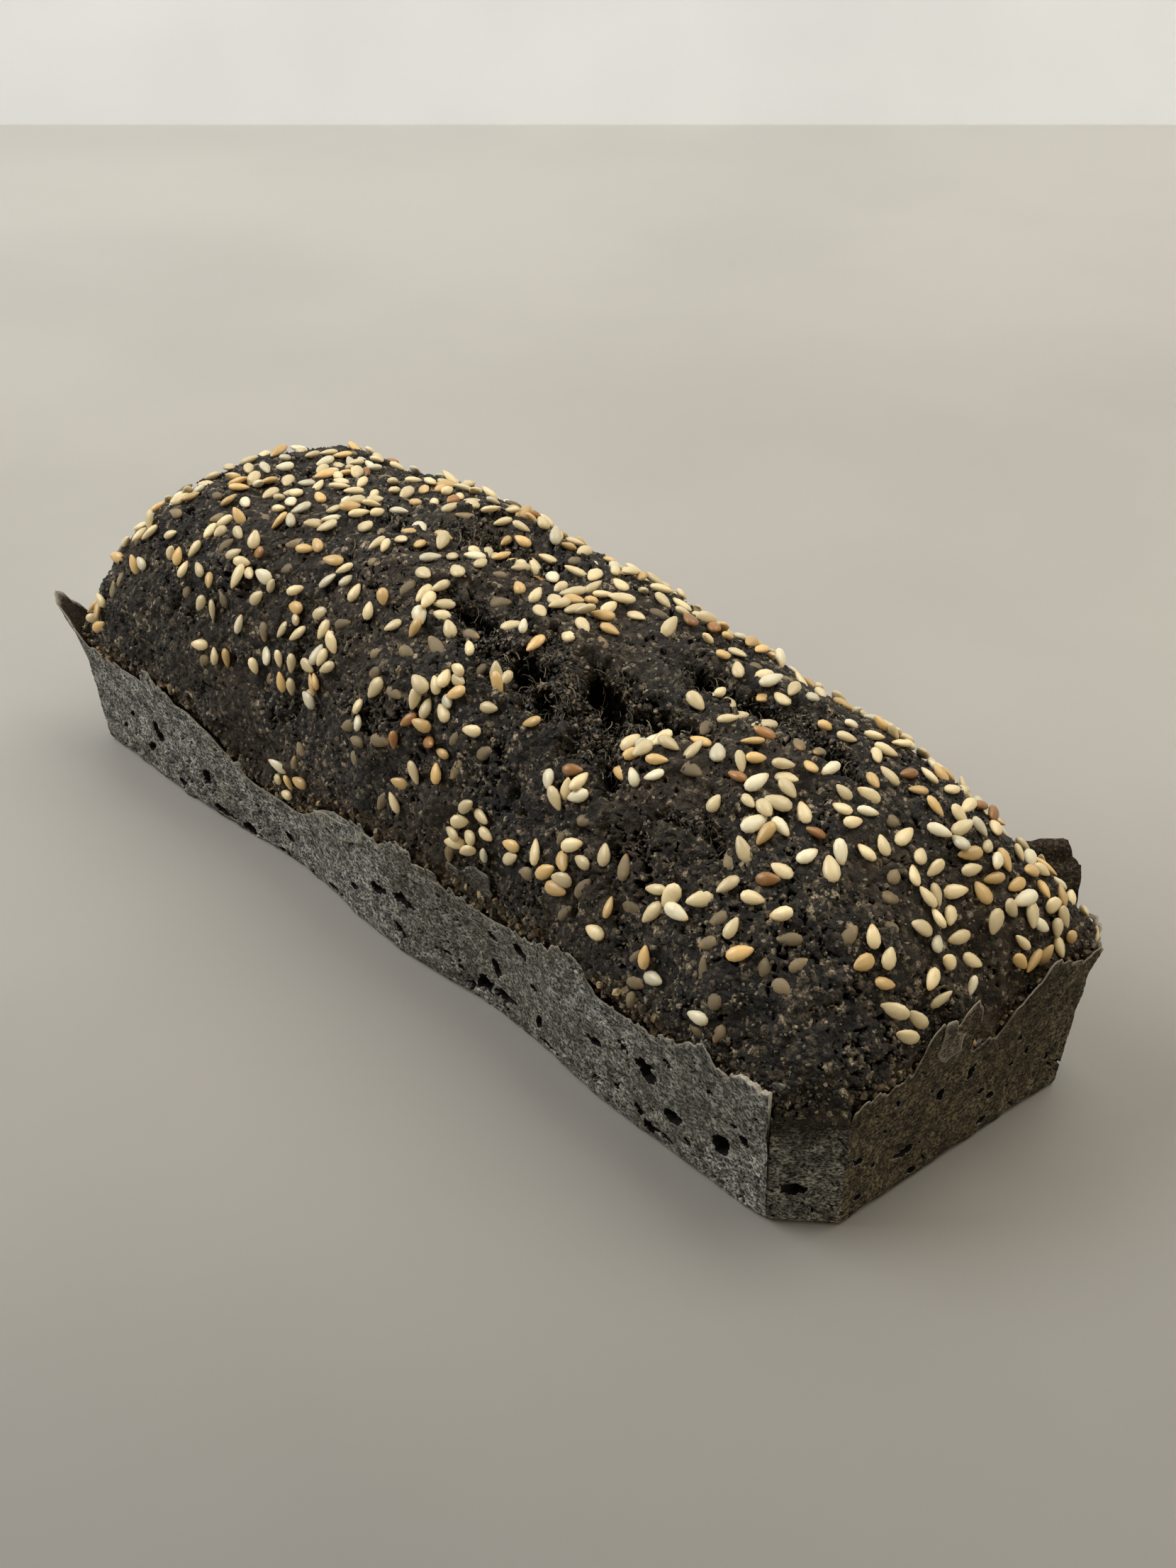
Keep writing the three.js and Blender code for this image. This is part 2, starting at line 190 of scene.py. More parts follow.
def plan_point(u, v, z, inset):
    """Place in plan of (u, v), each from -1 to 1, at height z, this far inside the wall"""
    half_length = FOOT_LENGTH / 2 + WALL_LEAN * z - inset
    half_width = FOOT_WIDTH / 2 + WALL_LEAN * z - inset
    over = corner_cut(u, v, half_length, half_width)
    x = u * half_length - np.sign(u) * over
    y = v * half_width - np.sign(v) * (wall_sum(WALL_HOLLOWS, u, v) + over)
    return x, y


def facet(u, v):
    """1 on the near right corner's facet, where no crust stands up, and 0 away from it"""
    short = CORNER_CUTS[0][2] - (1 - u) * FOOT_LENGTH / 2 - (1 + v) * FOOT_WIDTH / 2
    return smooth_step(0.0, 0.5, short)


def edge_height(u, v):
    return EDGE_HEIGHT - wall_sum(EDGE_DIPS, u, v)


draws = drawn(23, 3 * LUMPS["count"])
lumps = [
    (FOOT_LENGTH * (a - 0.5), FOOT_WIDTH * (b - 0.5), LUMPS["height"] * (2 * c - 1))
    for a, b, c in zip(draws[0::3], draws[1::3], draws[2::3])
]


def crown_height(u, v):
    x, y = u * FOOT_LENGTH / 2, v * FOOT_WIDTH / 2
    rise = CROWN_RISE - CROWN_FALL_TO_RIGHT * u - CROWN_FALL_TO_ENDS * u * u
    for at, spread, amount in CROWN_SWELLS:
        rise = rise + amount * bump(x - at, spread)
    for lump_x, lump_y, amount in lumps:
        rise = rise + amount * bump(x - lump_x, LUMPS["spread"]) * bump(y - lump_y, LUMPS["spread"])
    across = np.sqrt(np.maximum(0, 1 - np.abs(v) ** ROUND_ACROSS))
    along = np.sqrt(np.maximum(0, 1 - np.abs(u) ** ROUND_ALONG))
    return edge_height(u, v) + rise * across * along


def crown_point(u, v):
    """A point on the smooth crown, which bulges over the groove behind the standing crust"""
    z = crown_height(u, v)
    on_facet = facet(u, v)
    groove = GROOVE_INSET * (1 - on_facet) - FACET_OVERHANG * on_facet - CROWN_INSET
    inset = CROWN_INSET + groove * np.exp((edge_height(u, v) - z) / GROOVE_FADE)
    x, y = plan_point(u, v, EDGE_HEIGHT, inset)
    return np.stack([x, y, z], axis=-1)


def even_lines(count, half_span, height_of):
    """Lines from -1 to 1 that lie evenly along the curve of a profile"""
    t = np.linspace(-1, 1, PROFILE_STEPS)
    steps = np.hypot(np.diff(t * half_span), np.diff(height_of(t)))
    arc = np.concatenate([[0], np.cumsum(steps)])
    return np.interp(np.linspace(0, arc[-1], count + 1), arc, t)


def curve_through(route, count):
    """Points along a smooth curve through the places of a route"""
    ends = np.array([route[0], *route, route[-1]], dtype=float)
    places = []
    for t in np.linspace(0, len(route) - 1 - 1e-6, count):
        k = int(t)
        f = t - k
        a, b, c, d = ends[k:k + 4]
        places.append(
            0.5 * (2 * b + (c - a) * f + (2 * a - 5 * b + 4 * c - d) * f * f
                   + (3 * b - a - 3 * c + d) * f ** 3)
        )
    return np.array(places)


along_lines = even_lines(CROWN_CELLS[0], FOOT_LENGTH / 2, lambda t: crown_height(t, np.zeros_like(t)))
across_lines = even_lines(CROWN_CELLS[1], FOOT_WIDTH / 2, lambda t: crown_height(np.zeros_like(t), t))
crown_u, crown_v = np.meshgrid(along_lines, across_lines, indexing="ij")
smooth_crown = crown_point(crown_u, crown_v)
crown_facing = unit(np.cross(np.gradient(smooth_crown, axis=0), np.gradient(smooth_crown, axis=1)))
above_edge = smooth_crown[..., 2] - edge_height(crown_u, crown_v)


def crown_spot(x, y):
    """The smooth crown's nearest point to a place in plan, and the way it faces"""
    flat = (smooth_crown[..., 0] - x) ** 2 + (smooth_crown[..., 1] - y) ** 2
    k = np.unravel_index(np.argmin(flat), flat.shape)
    return smooth_crown[k], crown_facing[k]


def tear_relief(tear, lip_share, raised, seed, points):
    """Depth below the crust, and how torn it is, at points near one tear"""
    route, width, depth = tear
    spots_on_crown = [crown_spot(x, y) for x, y in curve_through(route, TEAR_STEPS)]
    middle = np.array([p for p, _ in spots_on_crown])
    upward = np.array([n for _, n in spots_on_crown])
    along = unit(np.gradient(middle, axis=0))
    aside = unit(np.cross(upward, along))
    reach = width + 4
    near = np.all((points > middle.min(axis=0) - reach) & (points < middle.max(axis=0) + reach), axis=1)
    spots = points[near]
    nearest = np.argmin(np.linalg.norm(spots[:, None, :] - middle[None, :, :], axis=2), axis=1)
    t = nearest / (TEAR_STEPS - 1)
    offset = spots - middle[nearest]
    beyond = np.abs(np.einsum("ij,ij->i", offset, along[nearest]))
    across = np.einsum("ij,ij->i", offset, aside[nearest])
    across = across + 0.17 * width * rough(spots, 2.4, 4, seed) + 0.4 * rough(spots, 0.9, 2, seed + 3)
    fullness = 0.12 + 0.88 * np.sqrt(np.sin(np.pi * np.clip(t, 0.02, 0.98)))
    half = width / 2 * fullness * (1 + 0.28 * rough(spots, 7, 2, seed + 5))
    q = (across + half) / (2 * half)
    shape = np.clip(np.minimum(q / lip_share, (1 - q) / (1 - lip_share)), 0, 1) ** 0.6
    uneven = 0.55 + 0.45 * smooth_step(-0.35, 0.5, rough(spots, 3.5, 2, seed + 9))
    fade = np.clip(1.6 - beyond / 1.2, 0, 1)
    lip = np.exp(-((np.abs(across) - half - 0.5) / 1.5) ** 2) * fullness * (np.abs(across) > half)
    sunk = np.zeros(len(points))
    sunk[near] = (depth * fullness * shape * uneven - raised * lip) * fade
    return sunk, smooth_step(0.25, 1.3, sunk)


crown_flat = smooth_crown.reshape(-1, 3)
tear_depth = np.zeros(len(crown_flat))
torn_flat = np.zeros(len(crown_flat))
tears = [(patch, PATCH_LIP, TEAR_RAISED) for patch in TORN_PATCHES]
tears += [(hole, HOLE_LIP, 0.0) for hole in TORN_HOLES]
for number, (tear, lip_share, raised) in enumerate(tears):
    one_depth, one_torn = tear_relief(tear, lip_share, raised, 3 + number, crown_flat)
    tear_depth = np.where(np.abs(one_depth) > np.abs(tear_depth), one_depth, tear_depth)
    torn_flat = np.maximum(torn_flat, one_torn)
tear_depth = tear_depth.reshape(above_edge.shape)
torn = torn_flat.reshape(above_edge.shape)
off_edge = smooth_step(0.3, 3.0, above_edge)
swelling = 0.75 * rough(smooth_crown, 7.0, 3, 1) + 0.4 * rough(smooth_crown, 2.6, 2, 2)
fold_line = bump(rough(smooth_crown, 11.0, 2, 14), 0.07)
swelling -= 0.9 * fold_line * smooth_step(0.0, 0.6, rough(smooth_crown, 15.0, 1, 15))
ridges = 0.5 - np.abs(rough(smooth_crown, 2.6, 3, 4))
crumb_relief = torn * (1.3 * ridges - 0.6 * bump(rough(smooth_crown, 1.6, 2, 5), 0.2))
crown_places = smooth_crown + crown_facing * (off_edge * (swelling + crumb_relief - tear_depth))[..., None]

SKIRT = len(CROWN_SKIRT) - 1


def steps_outside(cells):
    """How many lines each line of a grid with its skirt lies outside the grid"""
    steps = np.maximum(0, SKIRT - np.arange(cells + 1 + 2 * SKIRT))
    return np.maximum(steps, steps[::-1])


def with_skirt(values):
    """A grid of values carried on to the skirt that closes the crown inside the side crust"""
    border = [(SKIRT, SKIRT), (SKIRT, SKIRT)] + [(0, 0)] * (values.ndim - 2)
    return np.pad(values, border, mode="edge")


skirt_level = np.maximum.outer(steps_outside(CROWN_CELLS[0]), steps_outside(CROWN_CELLS[1]))
skirt_u, skirt_v = with_skirt(crown_u), with_skirt(crown_v)
skirt_drop, skirt_inset = np.array(CROWN_SKIRT)[skirt_level].transpose(2, 0, 1)
skirt_x, skirt_y = plan_point(skirt_u, skirt_v, EDGE_HEIGHT, skirt_inset)
skirt_places = np.stack([skirt_x, skirt_y, edge_height(skirt_u, skirt_v) + skirt_drop], axis=-1)
crown_body = np.where(skirt_level[..., None] > 0, skirt_places, with_skirt(crown_places))


def linked(name, data):
    """A new object of the scene with this mesh, lamp or camera"""
    fresh = bpy.data.objects.new(name, data)
    bpy.context.scene.collection.objects.link(fresh)
    return fresh


def linked_mesh(name, places, faces, values=None):
    """An object whose mesh, in metres, comes from places in millimetres and lists of faces"""
    mesh = bpy.data.meshes.new(name)
    mesh.from_pydata((places * MM).tolist(), [], [face for group in faces for face in group.tolist()])
    for key, amounts in (values or {}).items():
        kind, slot = ("FLOAT_VECTOR", "vector") if amounts.ndim == 2 else ("FLOAT", "value")
        full = np.zeros((len(places),) + amounts.shape[1:], dtype=np.float32)
        full[:len(amounts)] = amounts
        mesh.attributes.new(key, kind, "POINT").data.foreach_set(slot, full.ravel())
    mesh.shade_smooth()
    return linked(name, mesh)


def tube_faces(rows, columns):
    """The faces of rows of rings, whose two end rings are each capped by a fan"""
    index = np.arange(rows * columns).reshape(rows, columns)
    after = np.roll(index, -1, axis=1)
    walls = np.stack([index[:-1], index[1:], after[1:], after[:-1]], axis=-1).reshape(-1, 4)
    first, last = rows * columns, rows * columns + 1
    opening = np.stack([np.full(columns, first), index[0], after[0]], axis=-1)
    closing = np.stack([np.full(columns, last), after[-1], index[-1]], axis=-1)
    return [walls, opening, closing]


def capped(rings):
    """The values of rows of rings, with the middles of the two end rings after them"""
    ends = [rings[0].mean(axis=0), rings[-1].mean(axis=0)]
    return np.concatenate([rings.reshape((-1,) + rings.shape[2:]), ends])


def closed_tube(name, rings, values):
    """A closed piece from rows of rings"""
    rows, columns = rings.shape[:2]
    flat_values = {key: v.reshape((rows * columns,) + v.shape[2:]) for key, v in values.items()}
    piece = linked_mesh(name, capped(rings), tube_faces(rows, columns), flat_values)
    welded = bmesh.new()
    welded.from_mesh(piece.data)
    bmesh.ops.remove_doubles(welded, verts=welded.verts, dist=WELD * MM)
    welded.to_mesh(piece.data)
    welded.free()
    return piece


# Node trees are wired by the next few functions, in materials and in Geometry Nodes alike.
def add_node(tree, kind, settings=None, **inputs):
    """A new node, with its settings made and its inputs, by name or by number, set or linked"""
    fresh = tree.nodes.new(kind)
    for key, value in (settings or {}).items():
        setattr(fresh, key, value)
    for key, value in inputs.items():
        socket = fresh.inputs[int(key[1:])] if key[0] == "_" else fresh.inputs[key.replace("_", " ")]
        if isinstance(value, bpy.types.NodeSocket):
            tree.links.new(value, socket)
        else:
            socket.default_value = value
    return fresh


def result(tree, kind, settings=None, **inputs):
    """The first output of a new node"""
    return add_node(tree, kind, settings, **inputs).outputs[0]


def math_node(tree, operation, a, b=0.0, c=0.0):
    return result(tree, "ShaderNodeMath", {"operation": operation}, _0=a, _1=b, _2=c)


def vector_node(tree, operation, a, b=(0.0, 0.0, 0.0)):
    return result(tree, "ShaderNodeVectorMath", {"operation": operation}, _0=a, _1=b)


def scaled(tree, vector, amount):
    return result(tree, "ShaderNodeVectorMath", {"operation": "SCALE"}, _0=vector, _3=amount)


def weighed(tree, parts):
    """The sum of (value, weight) parts"""
    total = 0.0
    for value, weight in parts:
        total = math_node(tree, "MULTIPLY_ADD", value, weight, total)
    return total


def noise_node(tree, place, size, detail=2.0, roughness=0.5, distortion=0.0):
    """Noise from 0 to 1 whose features have about this size in millimetres"""
    return result(
        tree, "ShaderNodeTexNoise", Vector=place, Scale=1 / (size * MM), Detail=detail,
        Roughness=roughness, Distortion=distortion,
    )


def eased(tree, value, low, high, to_low=0.0, to_high=1.0):
    """A value eased from one range to another"""
    return result(
        tree, "ShaderNodeMapRange", {"interpolation_type": "SMOOTHSTEP"},
        _0=value, _1=low, _2=high, _3=to_low, _4=to_high,
    )


def grains(tree, place, size):
    """Crumb grains of about this size: the distance from a grain's middle, and the grain's own draw"""
    drift = add_node(
        tree, "ShaderNodeTexNoise", Vector=place, Scale=1.2 / (size * MM), Detail=1.0
    ).outputs[1]
    centred = vector_node(tree, "SUBTRACT", drift, (0.5, 0.5, 0.5))
    where = vector_node(tree, "ADD", place, scaled(tree, centred, GRAIN_DRIFT * size * MM))
    cell = add_node(
        tree, "ShaderNodeTexVoronoi", {"feature": "F1"}, Vector=where, Scale=1 / (size * MM)
    ).outputs
    return cell[0], result(tree, "ShaderNodeSeparateXYZ", _0=cell[1])


def crown_pitting(tree, place, bias):
    """Shares from 0 to 1 of pinholes, burst bubbles and fine cracks in the crown's skin"""
    swarm = noise_node(tree, place, 9.0, 1.0)
    crowd = math_node(tree, "MULTIPLY_ADD", swarm, 0.35, bias)
    fine = math_node(tree, "ADD", noise_node(tree, place, 0.95, 2.0, 0.6, 0.5), crowd)
    broad = math_node(tree, "ADD", noise_node(tree, place, 2.3, 2.5, 0.55, 0.7), crowd)
    pinhole = eased(tree, fine, 0.82, 0.855)
    bubble = eased(tree, broad, 0.86, 0.885)
    wander = noise_node(tree, place, 13.0, 3.5, 0.62, 0.6)
    off_line = math_node(tree, "ABSOLUTE", math_node(tree, "SUBTRACT", wander, 0.5))
    line = eased(tree, off_line, 0.002, 0.009, 1.0, 0.0)
    stretches = eased(tree, noise_node(tree, place, 7.5, 1.0), 0.58, 0.63)
    return pinhole, bubble, math_node(tree, "MULTIPLY", line, stretches)


def new_tree(name, sizes):
    """A Geometry Nodes tree with named sizes and a finish, and the sockets that bring them"""
    tree = bpy.data.node_groups.new(name, "GeometryNodeTree")
    tree.interface.new_socket("Geometry", in_out="INPUT", socket_type="NodeSocketGeometry")
    for label in sizes:
        tree.interface.new_socket(label, in_out="INPUT", socket_type="NodeSocketFloat")
    tree.interface.new_socket("Finish", in_out="INPUT", socket_type="NodeSocketMaterial")
    tree.interface.new_socket("Geometry", in_out="OUTPUT", socket_type="NodeSocketGeometry")
    return tree, tree.nodes.new("NodeGroupInput").outputs


def finish_tree(tree, geometry, entry):
    """Ends a tree with real geometry that carries its finish"""
    real = result(tree, "GeometryNodeRealizeInstances", Geometry=geometry)
    dressed = result(tree, "GeometryNodeSetMaterial", Geometry=real, Material=entry["Finish"])
    tree.links.new(dressed, tree.nodes.new("NodeGroupOutput").inputs[0])
    return tree


def point_value(tree, key, kind="FLOAT"):
    return result(tree, "GeometryNodeInputNamedAttribute", {"data_type": kind}, Name=key)


def kept_place(tree, geometry):
    """Keeps each point's place before relief, so that the finish follows the same pattern"""
    place = tree.nodes.new("GeometryNodeInputPosition").outputs[0]
    held = result(
        tree, "GeometryNodeStoreNamedAttribute", {"data_type": "FLOAT_VECTOR", "domain": "POINT"},
        Geometry=geometry, Name="rest", Value=place,
    )
    return held, place


def pushed(tree, geometry, amount):
    """Moves each point along the way it faces, as far as its relief share allows"""
    share = math_node(tree, "MULTIPLY", amount, point_value(tree, "relief"))
    offset = scaled(tree, point_value(tree, "facing", "FLOAT_VECTOR"), share)
    return result(tree, "GeometryNodeSetPosition", Geometry=geometry, Offset=offset)


def crown_relief_tree():
    """Geometry Nodes that raise the crown's grit and sink its pits and cracks"""
    sizes = (
        "Grit Height", "Coarse Grit Height", "Grain Height", "Pinhole Depth", "Bubble Depth", "Crack Depth",
    )
    tree, entry = new_tree("crown relief", sizes)
    held, place = kept_place(tree, entry["Geometry"])
    pinhole, bubble, crack = crown_pitting(tree, place, point_value(tree, "pit_bias"))
    grit = math_node(tree, "SUBTRACT", noise_node(tree, place, 0.75, 2.0, 0.65), 0.5)
    coarse = math_node(tree, "SUBTRACT", noise_node(tree, place, 2.0, 1.0), 0.5)
    off_grain, _ = grains(tree, place, GRAIN_SIZE)
    rounded = math_node(tree, "SUBTRACT", 0.45, off_grain)
    raised = ((grit, "Grit Height"), (coarse, "Coarse Grit Height"), (rounded, "Grain Height"))
    change = weighed(tree, [(value, entry[height]) for value, height in raised])
    for share, depth in ((pinhole, "Pinhole Depth"), (bubble, "Bubble Depth"), (crack, "Crack Depth")):
        sunk = math_node(tree, "MULTIPLY", share, entry[depth])
        change = math_node(tree, "SUBTRACT", change, sunk)
    return finish_tree(tree, pushed(tree, held, change), entry)


def apply_tree(piece, tree, **settings):
    """Runs a Geometry Nodes tree on a piece and keeps the result as its plain mesh"""
    modifier = piece.modifiers.new(tree.name, "NODES")
    modifier.node_group = tree
    for item in tree.interface.items_tree:
        if item.in_out == "INPUT" and item.name.replace(" ", "_") in settings:
            modifier[item.identifier] = settings[item.name.replace(" ", "_")]
    bpy.context.view_layer.update()
    evaluated = piece.evaluated_get(bpy.context.evaluated_depsgraph_get())
    finished = bpy.data.meshes.new_from_object(evaluated)
    piece.modifiers.clear()
    plain = piece.data
    piece.data = finished
    bpy.data.meshes.remove(plain)
    finished.name = piece.name


def dress(piece):
    """Says that a piece belongs to the loaf, and stands for its solid"""
    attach(piece, "root")
    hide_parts("loaf")


def new_material(name):
    """An empty material, with its node tree and its surface shader"""
    material = bpy.data.materials.new(name)
    material.use_nodes = True
    tree = material.node_tree
    return material, tree, tree.nodes["Principled BSDF"]


def object_place(tree):
    return add_node(tree, "ShaderNodeTexCoord").outputs["Object"]


def named_value(tree, key, output=2):
    return add_node(tree, "ShaderNodeAttribute", {"attribute_name": key}).outputs[output]


def colour_ramp(tree, value, stops):
    """A smooth run of colours from (place, (r, g, b)) stops"""
    fresh = add_node(tree, "ShaderNodeValToRGB", Fac=value)
    fresh.color_ramp.interpolation = "EASE"
    elements = fresh.color_ramp.elements
    while len(elements) < len(stops):
        elements.new(0.5)
    for element, (place, colour) in zip(elements, stops):
        element.position = place
        element.color = (*colour, 1)
    return fresh.outputs[0]


def mixed(tree, share, a, b, blend="MIX"):
    """Two colours mixed, each a socket or (r, g, b)"""
    fresh = tree.nodes.new("ShaderNodeMix")
    fresh.data_type = "RGBA"
    fresh.blend_type = blend
    for socket, value in ((fresh.inputs[0], share), (fresh.inputs[6], a), (fresh.inputs[7], b)):
        if isinstance(value, bpy.types.NodeSocket):
            tree.links.new(value, socket)
        elif socket.type == "VALUE":
            socket.default_value = value
        else:
            socket.default_value = (*value, 1)
    return fresh.outputs[2]


def layered(tree, base, layers):
    """A colour with (share, colour) layers laid over it in turn"""
    for share, colour in layers:
        base = mixed(tree, share, base, colour)
    return base


def shaded(tree, colour, brightness):
    """A colour made lighter or darker by a value"""
    grey = result(tree, "ShaderNodeCombineColor", _0=brightness, _1=brightness, _2=brightness)
    return mixed(tree, 1.0, colour, grey, "MULTIPLY")


def finish_surface(tree, shader, base, roughness, height, strength, distance):
    """Gives a surface its colour, its roughness and its finest relief, in millimetres"""
    relief = result(tree, "ShaderNodeBump", Strength=strength, Distance=distance * MM, Height=height)
    tree.links.new(relief, shader.inputs["Normal"])
    tree.links.new(base, shader.inputs["Base Color"])
    if isinstance(roughness, bpy.types.NodeSocket):
        tree.links.new(roughness, shader.inputs["Roughness"])
    else:
        shader.inputs["Roughness"].default_value = roughness


CHARCOAL_DEEP = (0.005, 0.0038, 0.0025)
CHARCOAL = (0.0205, 0.0162, 0.011)
CHARCOAL_BRAN = (0.068, 0.053, 0.034)
CHARCOAL_MEAL = (0.15, 0.118, 0.075)
CHARCOAL_SPECK = (0.33, 0.27, 0.18)
CHARCOAL_BLUE = (0.016, 0.0162, 0.0175)
CHARCOAL_BROWN = (0.046, 0.031, 0.0155)
CRUMB_DARK = (0.0035, 0.0025, 0.0015)
CRUMB = (0.04, 0.03, 0.0175)
CRUMB_PALE = (0.22, 0.175, 0.115)
RESIDUE = (0.076, 0.05, 0.021)
RESIDUE_PALE = (0.36, 0.265, 0.14)
# Near black of the crumb inside pits, holes and deep tears, made darker still as painted shade in these
# hollows.
PIT_BLACK_AND_SHADE = (0.0018, 0.0015, 0.0012)


def crown_material():
    material, tree, shader = new_material("charcoal_crown")
    rest = named_value(tree, "rest", 1)
    pinhole, bubble, crack = crown_pitting(tree, rest, named_value(tree, "pit_bias"))
    off_grain, draw = grains(tree, rest, GRAIN_SIZE)
    off_meal, meal_draw = grains(tree, rest, MEAL_SIZE)
    fine = noise_node(tree, rest, 0.3, 3.0, 0.65, 0.3)
    patches = noise_node(tree, rest, 5.0, 3.0, 0.6)
    lightness = math_node(tree, "MULTIPLY_ADD", patches, 0.9, draw)
    base = colour_ramp(
        tree, math_node(tree, "SUBTRACT", lightness, 0.45),
        [
            (0.2, CHARCOAL_DEEP), (0.52, CHARCOAL), (0.78, CHARCOAL_BRAN),
            (0.93, CHARCOAL_MEAL), (1.0, CHARCOAL_SPECK),
        ],
    )
    # Painted shade: darker in the gaps between the raised crumb grains.
    base = shaded(tree, base, eased(tree, off_grain, 0.3, 0.75, 0.97, 0.5))
    base = shaded(tree, base, eased(tree, fine, 0.38, 0.62, 0.25, 2.1))
    zones = noise_node(tree, rest, 24.0)
    spot = eased(tree, off_meal, 0.16, 0.26, 1.0, 0.0)
    speck = math_node(tree, "MULTIPLY", eased(tree, meal_draw, 0.66, 0.72, 0.0, 0.8), spot)
    drawn_out = vector_node(tree, "MULTIPLY", rest, (0.6, 0.9, 1.3))
    strings = noise_node(tree, drawn_out, 0.5, 4.0, 0.7, 1.0)
    crumb = colour_ramp(tree, strings, [(0.4, CRUMB_DARK), (0.52, CRUMB), (0.65, CRUMB_PALE)])
    gritty = colour_ramp(tree, fine, [(0.38, CHARCOAL_DEEP), (0.54, RESIDUE), (0.72, RESIDUE_PALE)])
    # Pinholes, bubbles, cracks and the deep parts of the tears are painted near black: the black crumb inside
    # them and painted shade in the hollows. Their specular is taken down too.
    pit_black_and_shade = named_value(tree, "deep_black_and_shade")
    for share in (pinhole, bubble, crack):
        pit_black_and_shade = math_node(tree, "MAXIMUM", pit_black_and_shade, share)
    base = layered(tree, base, [
        (eased(tree, zones, 0.44, 0.62, 0.04, 0.42), CHARCOAL_BROWN),
        (eased(tree, zones, 0.32, 0.46, 0.25, 0.0), CHARCOAL_BLUE),
        (speck, CHARCOAL_SPECK),
        (math_node(tree, "MULTIPLY", named_value(tree, "torn"), 0.9), crumb),
        (named_value(tree, "groove"), gritty),
        (pit_black_and_shade, PIT_BLACK_AND_SHADE),
    ])
    height = weighed(tree, [(fine, 1.6), (off_grain, -0.8), (speck, 0.4), (pit_black_and_shade, -1.2)])
    finish_surface(tree, shader, base, eased(tree, fine, 0.35, 0.65, 0.4, 0.85), height, 0.9, 0.3)
    tree.links.new(eased(tree, pit_black_and_shade, 0.2, 0.9, 0.35, 0.03), shader.inputs["Specular IOR Level"])
    return material


on_crown_facet = facet(crown_u, crown_v)
residue = 1 - smooth_step(0.6, 5.0, above_edge + 2.4 * rough(smooth_crown, 4.0, 3, 8))
browner_right = 0.45 + 0.5 * smooth_step(-20, 10, smooth_crown[..., 0])
crown_values = {
    "facing": with_skirt(crown_facing),
    "relief": np.where(skirt_level > 0, 0, with_skirt(smooth_step(0.2, 1.5, above_edge))),
    "torn": with_skirt(torn),
    # The deep parts of the tears, painted near black: black crumb and painted shade.
    "deep_black_and_shade": with_skirt(0.96 * smooth_step(1.7, 2.7, tear_depth)),
    "pit_bias": with_skirt(0.085 * torn + 0.04 * rough(smooth_crown, 14.0, 2, 6)),
    "groove": with_skirt(residue * (1 - on_crown_facet) * browner_right),
}
crown_finish = crown_material()
crown_tree = crown_relief_tree()
seams = np.linspace(0, CROWN_CELLS[0], CROWN_LENGTHS + 1).round().astype(int) + SKIRT
seams[0], seams[-1] = 0, CROWN_CELLS[0] + 2 * SKIRT
for number, (first_row, last_row) in enumerate(zip(seams[:-1], seams[1:]), start=1):
    rows = slice(first_row, last_row + 1)
    crown = closed_tube(
        f"charcoal_crown_{number}", crown_body[rows], {key: v[rows] for key, v in crown_values.items()}
    )
    apply_tree(
        crown, crown_tree, Grit_Height=0.7 * MM, Coarse_Grit_Height=1.0 * MM, Grain_Height=0.26 * MM,
        Pinhole_Depth=0.6 * MM, Bubble_Depth=1.2 * MM, Crack_Depth=0.9 * MM, Finish=crown_finish,
    )
    dress(crown)


